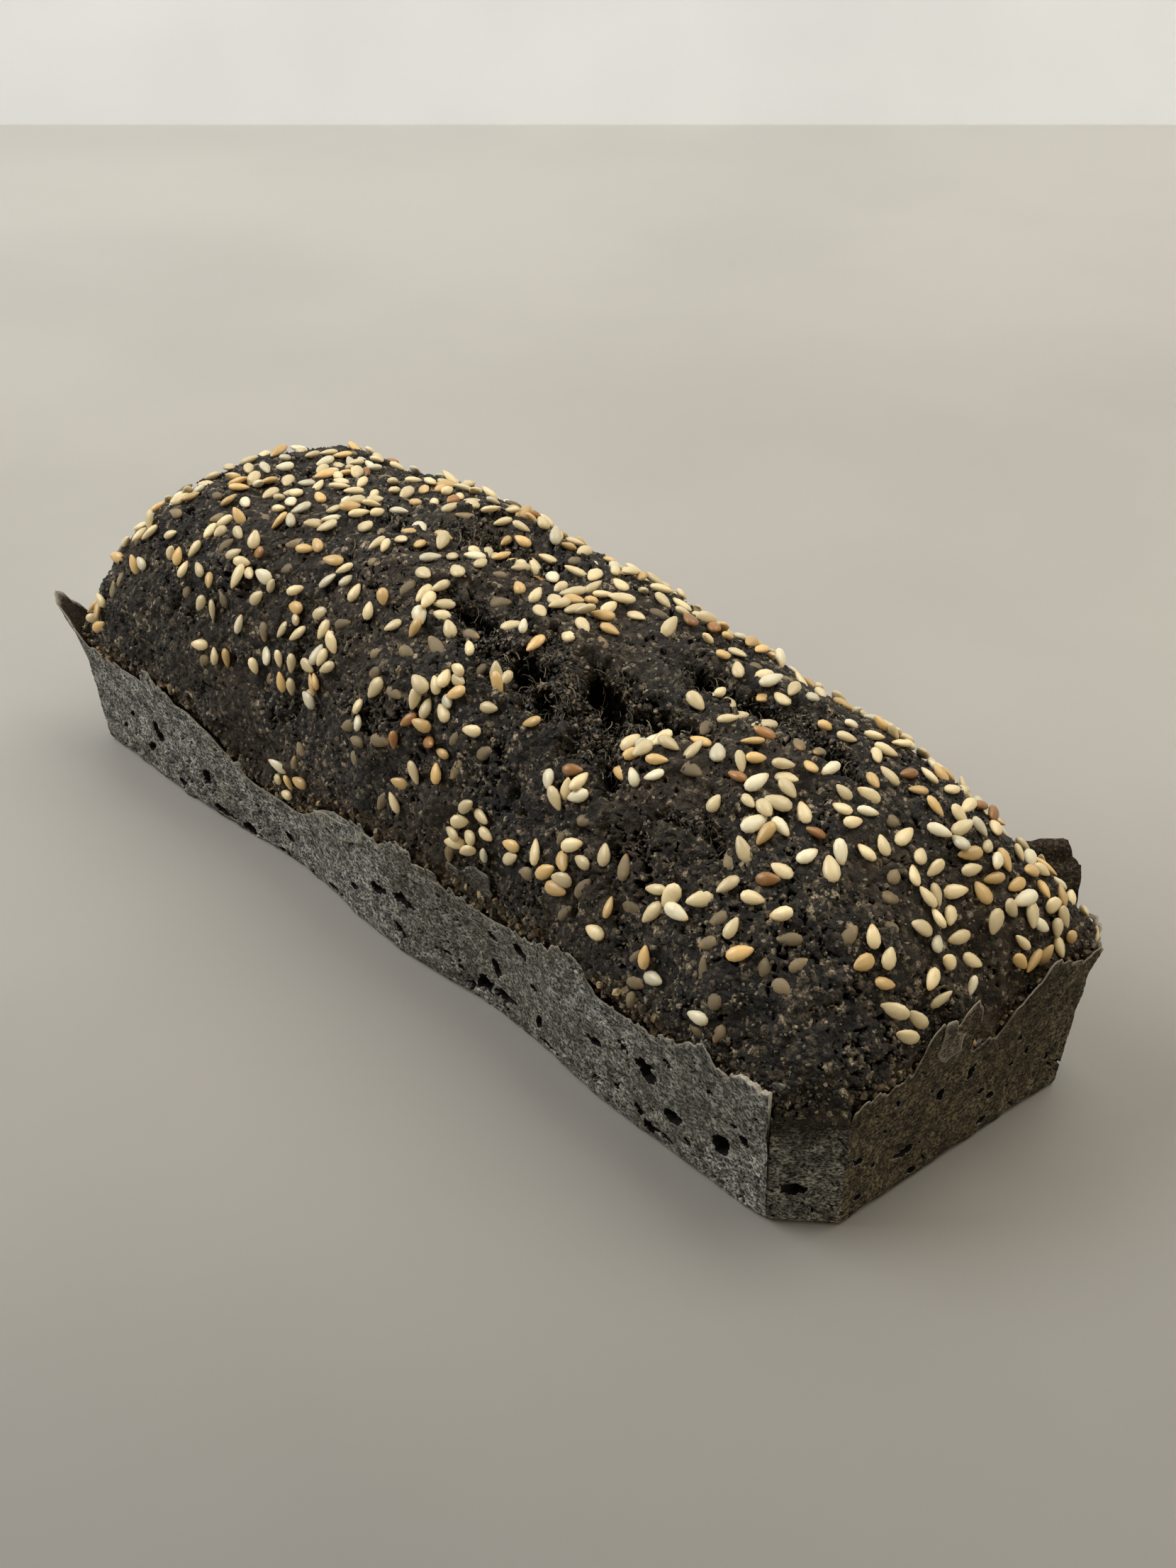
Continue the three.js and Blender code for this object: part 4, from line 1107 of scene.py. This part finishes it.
def flake_rings(where, outline, stand_off):
    """A thin ragged sheet: rings out over its front and back again behind it"""
    corners = np.array(outline + outline[:1], dtype=float)
    run = np.concatenate([[0], np.cumsum(np.linalg.norm(np.diff(corners, axis=0), axis=1))])
    t = np.linspace(0, run[-1], FLAKE_COLUMNS, endpoint=False)
    border = np.stack([np.interp(t, run, corners[:, 0]), np.interp(t, run, corners[:, 1]), 0 * t], axis=-1)
    middle = border.mean(axis=0)
    border = middle + (border - middle) * (1 + 0.14 * rough(border, 1.6, 3, 41))[:, None]
    shares = np.array(FLAKE_SHARES)[:, None, None]
    flat = middle + shares * (border - middle)
    rise = (flat[..., 1] - corners[:, 1].min()) / np.ptp(corners[:, 1])
    behind = (np.arange(len(shares)) >= len(shares) / 2)[:, None]
    off = stand_off[0] + (stand_off[1] - stand_off[0]) * rise + 0.3 * rough(flat, 3.5, 2, 42)
    return laid_on(where, flat[..., 0], flat[..., 1], off - FLAKE_THICKNESS * behind)


flake_places = np.concatenate([capped(flake_rings(*flake[:3])) for flake in FLAKES])
points_each = len(flake_places) // len(FLAKES)
faces_each = tube_faces(len(FLAKE_SHARES), FLAKE_COLUMNS)
flake_faces = [faces + points_each * k for k in range(len(FLAKES)) for faces in faces_each]
browned = np.repeat([flake[3] for flake in FLAKES], points_each)
on_right = np.repeat([float(flake[0] == "right") for flake in FLAKES], points_each)
at_border = np.outer(smooth_step(0.75, 1.0, np.array(FLAKE_SHARES)), np.ones(FLAKE_COLUMNS))
flake_values = {
    "rest": flake_places * MM,
    # Flake borders are paled as thin edges, with a painted highlight.
    "paper_and_highlight": np.tile(capped(at_border), len(FLAKES)) * (1 - browned),
    "inside": browned,
    # Flakes on the right end take its painted shade.
    "right_end_shade": 0.8 * on_right,
    "pit_bias": np.full(len(flake_places), -0.03),
}
flakes = linked_mesh("crust_flakes", flake_places, flake_faces, flake_values)
flakes.data.materials.append(side_finish)
dress(flakes)


# The sesame seeds: hulled white sesame, 3.3 mm long, strewn on the wet dough before baking.
# Most are cream, some are toasted golden or brown, and some sank in until dough covers them.
# A clump is its place along the loaf, its share across the crown's arc, and its seeds.
SEED_LENGTH = 3.25
SEED_WIDTH = 1.95
SEED_THICKNESS = 1.15
POINTEDNESS = 0.52
SINGLE_SEEDS = 270
COVERED_SEEDS = 120
FAR_CLUMPS = 24
SEED_CLUMPS = [
    (-78, -0.77, 3), (-78, -0.69, 2), (-76, -0.5, 2), (-69, -0.45, 3), (-68, -0.58, 2), (-68, -0.3, 6),
    (-60, -0.15, 8), (-59, -0.51, 2), (-55, -0.4, 1), (-52, 0.08, 14), (-51, -0.34, 3), (-50, -0.51, 2),
    (-48, -0.72, 1), (-46, -0.59, 1), (-45, -0.7, 1), (-43, -0.41, 6), (-43, -0.24, 5), (-41, -0.67, 1),
    (-40, -0.57, 1), (-37, -0.47, 3), (-35, -0.21, 3), (-34, -0.63, 2), (-32, -0.31, 2), (-32, -0.1, 6),
    (-32, 0.18, 12), (-31, -0.45, 1), (-29, -0.51, 4), (-28, -0.63, 4), (-27, -0.9, 4), (-24, -0.34, 5),
    (-20, -0.64, 3), (-20, -0.21, 2), (-19, -0.5, 4), (-18, -0.59, 5), (-15, -0.09, 1), (-15, 0.15, 6),
    (-13, -0.39, 1), (-8, -0.41, 1), (-7, -0.61, 1), (-7, -0.05, 5), (-6, -0.68, 1), (-5, -0.56, 1),
    (-4, -0.28, 6), (-4, -0.35, 1), (-4, 0.17, 4), (2, -0.65, 1), (2, -0.33, 1), (3, -0.75, 1),
    (4, -0.53, 5), (7, -0.46, 7), (7, -0.34, 1), (8, 0.22, 9), (9, -0.64, 3), (12, -0.01, 12),
    (14, -0.34, 3), (15, -0.5, 1), (18, -0.76, 9), (22, -0.39, 1), (22, 0.2, 6), (26, -0.74, 2),
    (30, 0.3, 8), (32, -0.47, 6), (36, -0.71, 3), (38, -0.64, 3), (38, 0.03, 4), (40, -0.29, 11),
    (43, -0.59, 1), (43, 0.12, 2), (45, -0.77, 1), (46, 0.39, 7), (47, -0.68, 1), (51, -0.3, 1),
    (54, -0.59, 4), (54, -0.17, 9), (54, 0.32, 7), (55, -0.78, 2), (59, -0.22, 4), (60, -0.44, 1),
    (63, -0.41, 1), (63, -0.16, 1), (64, -0.78, 1), (64, -0.52, 1), (64, -0.32, 2), (64, -0.08, 2),
    (68, -0.07, 1), (69, -0.39, 1), (71, 0.18, 8), (73, 0.01, 5), (76, -0.23, 1), (77, 0.19, 8),
    (78, -0.26, 2), (78, -0.05, 4), (82, -0.22, 2), (82, -0.09, 1), (82, 0.21, 6), (82, 0.36, 5),
]
CLUMP_SPREAD = 1.3
SEED_REACH = 0.8
SIDE_BY_SIDE = 1.9
TOUCHING = 1.4
APART = 2.2
HIGHEST_SEED = 54.5
BARE_TEAR = 1.7
LIFT_ON_OTHERS = 0.5
TRIES_PER_SEED = 60
ARC_ACROSS = 52.0
IN_CLUMP = {"tilt": 0.25, "sink": 0.05}
SINGLE = {"tilt": 0.2, "sink": 0.12}
COVERED = {"tilt": 0.12, "sink": 0.7}
CLEAR_OF_CROWN = 6.0
FURTHEST_ALONG = 0.985
FURTHEST_ACROSS = 0.97
SEED_TONES = {"cream": 0.0, "ivory": 0.25, "golden": 0.5, "brown": 0.75, "covered": 1.0}

dice = np.random.default_rng(41)
coarse = crown_places[::2, ::2]
coarse_index = np.arange(coarse.shape[0] * coarse.shape[1]).reshape(coarse.shape[:2])
coarse_faces = np.stack(
    [coarse_index[:-1, :-1], coarse_index[1:, :-1], coarse_index[1:, 1:], coarse_index[:-1, 1:]], axis=-1
).reshape(-1, 4)
crown_skin = BVHTree.FromPolygons(coarse.reshape(-1, 3).tolist(), coarse_faces.tolist())
arc_shares = np.linspace(-1, 1, CROWN_CELLS[1] + 1)


def crown_place(x, across):
    """The place on the rough crown, the way it faces and its tear, at x and this share across"""
    u = np.clip(x / (FOOT_LENGTH / 2 + WALL_LEAN * EDGE_HEIGHT), -FURTHEST_ALONG, FURTHEST_ALONG)
    v = np.interp(np.clip(across, -FURTHEST_ACROSS, FURTHEST_ACROSS), arc_shares, across_lines)
    row = np.abs(along_lines - u).argmin()
    column = np.abs(across_lines - v).argmin()
    facing = Vector(crown_facing[row, column])
    from_outside = Vector(smooth_crown[row, column]) + facing * CLEAR_OF_CROWN
    hit, _, _, _ = crown_skin.ray_cast(from_outside, -facing)
    place = hit if hit is not None else Vector(smooth_crown[row, column])
    return place, facing, tear_depth[row, column]


def seed_line(record):
    """Three places along a seed, from near its one end to near the other"""
    upright = Vector((0, 0, 1)).rotation_difference(record["facing"])
    long = upright @ (Euler(record["turn"]).to_matrix() @ Vector((1, 0, 0)))
    return [record["place"] + long * reach for reach in (-SEED_REACH, 0, SEED_REACH)]


def seed_record(place, facing, tone, tilt, sink):
    size = dice.normal(1.0, 0.07)
    return {
        "place": place + facing * SEED_THICKNESS * (0.5 - sink),
        "facing": facing,
        "turn": (dice.normal(0, tilt), dice.normal(0, tilt), dice.uniform(0, 2 * math.pi)),
        "size": (size * dice.normal(1, 0.07), size * dice.normal(1, 0.09), dice.uniform(0.85, 1.15)),
        "tone": tone,
        "shade": dice.uniform(),
    }


def draw_tone():
    return SEED_TONES[dice.choice(["cream", "ivory", "golden", "brown"], p=[0.6, 0.16, 0.2, 0.04])]


seeds = []
seed_lines = []


def strew(x, across, gap, tone, tilt, sink):
    """Lays one seed where the crown isn't torn open, on the edge of those it touches"""
    place, facing, tear = crown_place(x, across)
    record = seed_record(place, facing, tone, tilt, sink)
    line = seed_line(record)
    within = SIDE_BY_SIDE + 2 * SEED_REACH
    close = [other for other in seed_lines if (line[1] - other[1]).length < within]
    room = min([(a - b).length for other in close for a in line for b in other], default=SIDE_BY_SIDE)
    record["place"] += facing * LIFT_ON_OTHERS * max(0.0, SIDE_BY_SIDE - room)
    if tear > BARE_TEAR or room < gap or record["place"].z > HIGHEST_SEED:
        return False
    seeds.append(record)
    seed_lines.append(line)
    return True


far_clumps = [
    (dice.uniform(-78, 78), dice.uniform(0.35, 0.9), dice.integers(4, 10)) for _ in range(FAR_CLUMPS)
]
for x, across, count in SEED_CLUMPS + far_clumps:
    radius = CLUMP_SPREAD * math.sqrt(count)
    laid = 0
    for _ in range(TRIES_PER_SEED * count):
        if laid >= count:
            break
        angle = dice.uniform(0, 2 * math.pi)
        reach = radius * math.sqrt(dice.uniform())
        laid += strew(
            x + reach * math.cos(angle), across + reach * math.sin(angle) / ARC_ACROSS,
            TOUCHING * dice.uniform(0.85, 1.15), draw_tone(), **IN_CLUMP,
        )


def single_chance(x, across):
    """Single seeds lie thickest over the left end and along the ridge, and are few on the near flank"""
    ridge = math.exp(-((across - 0.12) / 0.38) ** 2) * (0.85 if x > 25 else 1.0)
    left_end = 0.4 * math.exp(-((x + 58) / 30) ** 2)
    right_end = 0.25 * math.exp(-((x - 72) / 16) ** 2) * (across > -0.2)
    bare = 0.12 if across < -0.25 else 1.0
    return min(1.0, (0.55 * ridge + 0.45 * (1 - abs(across)) + left_end + right_end) * bare)


single_total = len(seeds) + SINGLE_SEEDS
while len(seeds) < single_total:
    x, across = dice.uniform(-83, 83), dice.uniform(-0.95, 0.95)
    if dice.uniform() < single_chance(x, across):
        strew(x, across, APART, draw_tone(), **SINGLE)
covered_total = len(seeds) + COVERED_SEEDS
while len(seeds) < covered_total:
    x, across = dice.uniform(-80, 80), dice.uniform(-0.95, 0.9)
    strew(x, across, APART, SEED_TONES["covered"], **COVERED)


def scatter_tree(name, sizes, shape):
    """Geometry Nodes that set one shape on every point, facing, turned and sized as it says"""
    tree, entry = new_tree(name, sizes)
    facing, angles, size = [point_value(tree, key, "FLOAT_VECTOR") for key in ("facing", "turn", "size")]
    upright = result(tree, "FunctionNodeAlignRotationToVector", {"axis": "Z"}, Vector=facing)
    turn = result(tree, "FunctionNodeEulerToRotation", _0=angles)
    turned = result(
        tree, "FunctionNodeRotateRotation", {"rotation_space": "LOCAL"}, _0=upright, _1=turn
    )
    spread = result(
        tree, "GeometryNodeInstanceOnPoints", Points=entry["Geometry"], Instance=shape(tree, entry),
        Rotation=turned, Scale=size,
    )
    return finish_tree(tree, spread, entry)


def seed_shape(tree, entry):
    """A plump drop: a ball drawn out along its length and narrowed towards its tip"""
    ball = result(tree, "GeometryNodeMeshUVSphere", Segments=9, Rings=6, Radius=0.5)
    spot = tree.nodes.new("GeometryNodeInputPosition").outputs[0]
    x, y, z = add_node(tree, "ShaderNodeSeparateXYZ", _0=spot).outputs
    to_tip = math_node(tree, "ADD", z, 0.5)
    narrowing = math_node(tree, "MULTIPLY", math_node(tree, "POWER", to_tip, 1.8), entry["Pointedness"])
    girth = math_node(tree, "SUBTRACT", 1.1, narrowing)
    wide = math_node(tree, "MULTIPLY", math_node(tree, "MULTIPLY", x, girth), entry["Seed Width"])
    thick = math_node(tree, "MULTIPLY", math_node(tree, "MULTIPLY", y, girth), entry["Seed Thickness"])
    long = math_node(tree, "MULTIPLY", z, entry["Seed Length"])
    shaped = result(tree, "ShaderNodeCombineXYZ", _0=long, _1=wide, _2=thick)
    kept = result(
        tree, "GeometryNodeStoreNamedAttribute", {"data_type": "FLOAT", "domain": "POINT"},
        Geometry=ball, Name="to_tip", Value=to_tip,
    )
    drop = result(tree, "GeometryNodeSetPosition", Geometry=kept, Position=shaped)
    return result(tree, "GeometryNodeSetShadeSmooth", _0=drop)


def strewn_piece(name, records, tree, **settings):
    """A piece of one tree's shapes, set on points that carry what their records say"""
    values = {key: np.array([record[key] for record in records]) for key in records[0]}
    piece = linked_mesh(name, values.pop("place"), [], values)
    apply_tree(piece, tree, **settings)
    dress(piece)


SEED_COLOURS = [
    (0.0, (0.87, 0.72, 0.42)), (0.25, (0.85, 0.78, 0.55)), (0.5, (0.8, 0.54, 0.22)),
    (0.75, (0.4, 0.19, 0.06)), (1.0, (0.23, 0.175, 0.095)),
]
SEED_TOASTED = (0.62, 0.33, 0.1)
SEED_BLOTCH = (0.5, 0.34, 0.15)


def seed_material():
    material, tree, shader = new_material("sesame_seed")
    shade = named_value(tree, "shade")
    blotch = noise_node(tree, object_place(tree), 1.4)
    base = colour_ramp(tree, named_value(tree, "tone"), SEED_COLOURS)
    base = shaded(tree, base, eased(tree, shade, 0.0, 1.0, 0.64, 0.98))
    tip = eased(tree, named_value(tree, "to_tip"), 0.7, 1.0)
    toasted = math_node(tree, "MULTIPLY", tip, eased(tree, shade, 0.35, 0.9, 0.05, 0.6))
    blotched = eased(tree, blotch, 0.5, 0.75, 0.0, 0.25)
    base = layered(tree, base, [(toasted, SEED_TOASTED), (blotched, SEED_BLOTCH)])
    gloss = eased(tree, named_value(tree, "tone"), 0.8, 1.0, 0.33, 0.7)
    finish_surface(tree, shader, base, gloss, blotch, 0.25, 0.1)
    shader.inputs["Subsurface Weight"].default_value = 0.1
    shader.inputs["Subsurface Radius"].default_value = (0.0012, 0.0007, 0.0003)
    return material


seed_sizes = ("Seed Length", "Seed Width", "Seed Thickness", "Pointedness")
strewn_piece(
    "sesame_seeds", seeds, scatter_tree("strewn seeds", seed_sizes, seed_shape),
    Seed_Length=SEED_LENGTH * MM, Seed_Width=SEED_WIDTH * MM, Seed_Thickness=SEED_THICKNESS * MM,
    Pointedness=POINTEDNESS, Finish=seed_material(),
)


# The torn crumb: where the crown tore, sticky dough pulled out into short grey threads that
# bridge and line the opening. Each is a thin curved strand of baked crumb.
THREADS = 650
THREAD_LENGTH = 1.9
THREAD_THICKNESS = 0.07
THREAD_SPACE = 2.3
THREAD_HEADING = -0.35

torn_rows, torn_columns = np.nonzero((torn > 0.7) & (tear_depth > 1.0))
picks = dice.integers(0, len(torn_rows), THREADS)
threads = [
    {
        "place": crown_places[row, column] + crown_facing[row, column] * dice.uniform(0.0, 0.5),
        "facing": crown_facing[row, column],
        "turn": (dice.normal(0, 0.5), dice.normal(0, 0.4), dice.normal(THREAD_HEADING, 0.6)),
        "size": (dice.uniform(0.4, 1.3), dice.uniform(0.6, 1.6), dice.uniform(0.3, 1.2)),
        "tone": dice.uniform(),
    }
    for row, column in zip(torn_rows[picks], torn_columns[picks])
    if min((record["place"] - Vector(crown_places[row, column])).length for record in seeds) > THREAD_SPACE
]


def thread_shape(tree, entry):
    """A thin strand, bent up in its middle"""
    bent = result(
        tree, "GeometryNodeCurveQuadraticBezier",
        Resolution=5, Start=(-0.5, 0.0, 0.0), Middle=(0.05, 0.12, 0.5), End=(0.5, -0.08, -0.05),
    )
    length = entry["Thread Length"]
    sized = result(tree, "ShaderNodeCombineXYZ", _0=length, _1=length, _2=length)
    sized_curve = result(tree, "GeometryNodeTransform", Geometry=bent, Scale=sized)
    section = result(
        tree, "GeometryNodeCurvePrimitiveCircle", Resolution=3, Radius=entry["Thread Thickness"]
    )
    return result(
        tree, "GeometryNodeCurveToMesh", Curve=sized_curve, Profile_Curve=section, Fill_Caps=True
    )


def crumb_material(name, stops, mottle_size, darkest, roughness, relief):
    """Baked crumb, coloured by each strand's or lump's own tone, and mottled"""
    material, tree, shader = new_material(name)
    mottled = noise_node(tree, object_place(tree), mottle_size)
    base = colour_ramp(tree, named_value(tree, "tone"), stops)
    base = shaded(tree, base, eased(tree, mottled, 0.3, 0.7, darkest, 1.2))
    finish_surface(tree, shader, base, roughness, mottled, relief, 0.1)
    return material


thread_stops = [(0.0, (0.02, 0.015, 0.009)), (0.5, (0.07, 0.053, 0.034)), (0.95, (0.24, 0.19, 0.12))]
strewn_piece(
    "torn_crumb_threads", threads,
    scatter_tree("torn threads", ("Thread Length", "Thread Thickness"), thread_shape),
    Thread_Length=THREAD_LENGTH * MM, Thread_Thickness=THREAD_THICKNESS * MM,
    Finish=crumb_material("torn_crumb", thread_stops, 0.9, 0.6, 0.6, 0.4),
)


# The bran flecks: husk and burnt flour that stand up out of the crown's skin as small lumps,
# black, brown or pale.
FLECKS = 9000
FLECK_SIZE = 0.42
LUMP_SPACE = 1.2


def lump_shape(tree, entry):
    """A small uneven lump with few faces"""
    ball = result(tree, "GeometryNodeMeshUVSphere", Segments=5, Rings=3, Radius=0.5)
    spot = tree.nodes.new("GeometryNodeInputPosition").outputs[0]
    uneven = add_node(tree, "ShaderNodeTexNoise", Vector=spot, Scale=2.3, Detail=0.0).outputs[1]
    widened = vector_node(tree, "MULTIPLY", spot, vector_node(tree, "ADD", uneven, (0.5, 0.5, 0.5)))
    sized = scaled(tree, widened, entry["Lump Size"])
    return result(tree, "GeometryNodeSetPosition", Geometry=ball, Position=sized)


seed_places = np.array([record["place"] for record in seeds])
lump_tree = scatter_tree("strewn lumps", ("Lump Size",), lump_shape)


def strewn_lumps(name, where, count, size, lift, spread, finish, stops):
    """A piece of lumps on random points of the crown where the condition holds, but not on a seed"""
    rows, columns = np.nonzero(where)
    picks = dice.integers(0, len(rows), count)
    spots = crown_places[rows[picks], columns[picks]]
    off_seed = np.array([np.linalg.norm(seed_places - spot, axis=1).min() for spot in spots])
    picks = picks[off_seed > LUMP_SPACE]
    records = [
        {
            "place": crown_places[row, column] + crown_facing[row, column] * dice.uniform(*lift),
            "facing": crown_facing[row, column],
            "turn": tuple(dice.uniform(0, 2 * math.pi, 3)),
            "size": tuple(dice.normal(1, 0.28, 3).clip(0.4, 1.9) * dice.uniform(*spread)),
            "tone": dice.uniform() ** 1.6,
        }
        for row, column in zip(rows[picks], columns[picks])
    ]
    look = crumb_material(finish, stops, 0.5, 0.55, 0.5, 0.5)
    strewn_piece(name, records, lump_tree, Lump_Size=size * MM, Finish=look)


strewn_lumps(
    "bran_flecks", (above_edge > 2.0) & (torn < 0.5), FLECKS, FLECK_SIZE, (-0.05, 0.12), (0.5, 1.5),
    "bran_fleck",
    [(0.0, (0.011, 0.009, 0.007)), (0.45, (0.04, 0.032, 0.022)), (1.0, (0.2, 0.16, 0.11))],
)


# The torn crumbs: small rough clots of dough that stand out of the torn places, grey-brown where
# the light catches them.
TORN_CRUMBS = 3800
TORN_CRUMB_SIZE = 0.5

strewn_lumps(
    "torn_crumbs", (torn > 0.5) & (tear_depth < 2.4), TORN_CRUMBS, TORN_CRUMB_SIZE, (-0.15, 0.15),
    (0.4, 1.5), "torn_clot",
    [(0.0, (0.007, 0.005, 0.003)), (0.5, (0.04, 0.03, 0.018)), (1.0, (0.23, 0.18, 0.115))],
)


# The rim crumbs: brown and amber crumbs of dry dough that lie in the gap between the crown
# and the standing crust.
RIM_CRUMBS = 2200
RIM_CRUMB_SIZE = 0.8

strewn_lumps(
    "rim_crumbs", (above_edge < 3.6) & (on_crown_facet < 0.1), RIM_CRUMBS, RIM_CRUMB_SIZE, (-0.1, 0.35),
    (0.4, 1.6), "rim_crumb",
    [(0.0, (0.035, 0.024, 0.013)), (0.5, (0.1, 0.067, 0.03)), (1.0, (0.42, 0.31, 0.155))],
)


# The table that the loaf stands on, and the wall behind it. Neither belongs to the loaf.
TABLE_COLOUR = (0.375, 0.359, 0.33)
# How dark the painted shade makes the table towards the camera.
TABLE_PAINTED_SHADE = 0.46
CLOUDY_SHADE = 0.93
BACKDROP_COLOUR = (0.84, 0.86, 0.87)


def flat_material(name, colour, roughness, near_shade=1.0):
    """Plain paint, a little cloudy, with a painted shade that darkens it towards the camera"""
    material, tree, shader = new_material(name)
    where = object_place(tree)
    cloudy = noise_node(tree, where, 110.0, 3.0)
    darker = tuple(CLOUDY_SHADE * c for c in colour)
    base = mixed(tree, eased(tree, cloudy, 0.35, 0.65), darker, colour)
    far = add_node(
        tree, "ShaderNodeVectorMath", {"operation": "DOT_PRODUCT"}, _0=where, _1=tuple(away)
    ).outputs[1]
    # Painted shade: darker towards the camera, lighter towards the back.
    base = shaded(tree, base, eased(tree, far, -0.22, 0.08, near_shade, 1.0))
    tree.links.new(base, shader.inputs["Base Color"])
    shader.inputs["Roughness"].default_value = roughness
    return material


def stage_place(right, back, up):
    """A place in metres, to the camera's right, away from it along the table, and up"""
    return sideways * right + away * back + Vector((0, 0, up))


def flat_sheet(name, corners, material):
    """A plain sheet of the stage between four places"""
    places = np.array([stage_place(*corner) for corner in corners]) / MM
    sheet = linked_mesh(name, places, [np.array([[0, 1, 2, 3]])])
    sheet.data.materials.append(material)


VIEW_AZIMUTH = math.radians(48.78)
WALL = 0.43
REACH = 3.0
away = Vector((-math.sin(VIEW_AZIMUTH), math.cos(VIEW_AZIMUTH), 0))
sideways = Vector((math.cos(VIEW_AZIMUTH), math.sin(VIEW_AZIMUTH), 0))
flat_sheet(
    "table", [(-REACH, -REACH, 0), (REACH, -REACH, 0), (REACH, WALL, 0), (-REACH, WALL, 0)],
    flat_material("table_paint", TABLE_COLOUR, 0.6, TABLE_PAINTED_SHADE),
)
flat_sheet(
    "backdrop", [(-REACH, WALL, 0), (REACH, WALL, 0), (REACH, WALL, REACH), (-REACH, WALL, REACH)],
    flat_material("backdrop_paint", BACKDROP_COLOUR, 0.9),
)


# The light: one wide soft window on the left, a weaker one overhead, a weak warm fill from the
# right, a wash along the wall, and a pale room. A lamp is its place and its aim on the stage,
# its width and height, its power and its colour.
LAMPS = {
    "window": ((-0.8, 0.2, 0.78), (0, 0, 0.02), (0.9, 0.7), 12.0, (0.98, 0.985, 1.0)),
    "overhead": ((0.4, 0.2, 0.95), (0, 0, 0.02), (0.9, 0.8), 8.0, (1.0, 0.96, 0.89)),
    "fill": ((1.2, -0.6, 0.6), (0, 0, 0.02), (1.2, 0.8), 3.2, (1.0, 0.9, 0.75)),
    "wall_wash": ((0, 0.12, 0.75), (0, 0.5, 0), (1.6, 0.1), 0.8, (0.95, 0.98, 1.0)),
}
WASH_SPREAD = math.radians(50)
ROOM_COLOUR = (1.0, 0.89, 0.68, 1)
ROOM_STRENGTH = 0.32

for name, (place, aim, size, power, colour) in LAMPS.items():
    lamp = bpy.data.lights.new(name, "AREA")
    lamp.shape = "RECTANGLE"
    lamp.size, lamp.size_y = size
    lamp.energy = power
    lamp.color = colour
    holder = linked(name, lamp)
    holder.location = stage_place(*place)
    holder.rotation_euler = (stage_place(*aim) - holder.location).to_track_quat("-Z", "Y").to_euler()
bpy.data.lights["wall_wash"].spread = WASH_SPREAD
room = bpy.data.worlds.new("room")
room.use_nodes = True
room.node_tree.nodes["Background"].inputs[0].default_value = ROOM_COLOUR
room.node_tree.nodes["Background"].inputs[1].default_value = ROOM_STRENGTH
bpy.context.scene.world = room
bpy.context.scene.view_settings.view_transform = "Standard"


# The camera: where the photograph was taken from, found from the loaf's straight edges.
CAMERA_PLACE = Vector((211.9, -174.6, 187.7)) * MM
CAMERA_PITCH = math.radians(31.79)
CAMERA_LENS = 49.915
camera_data = bpy.data.cameras.new("camera")
camera_data.sensor_fit = "VERTICAL"
camera_data.sensor_height = 36
camera_data.lens = CAMERA_LENS
camera_data.clip_start = 0.01
camera = linked("camera", camera_data)
camera.location = CAMERA_PLACE
camera.rotation_euler = Euler((math.pi / 2 - CAMERA_PITCH, 0, VIEW_AZIMUTH), "XYZ")
bpy.context.scene.camera = camera
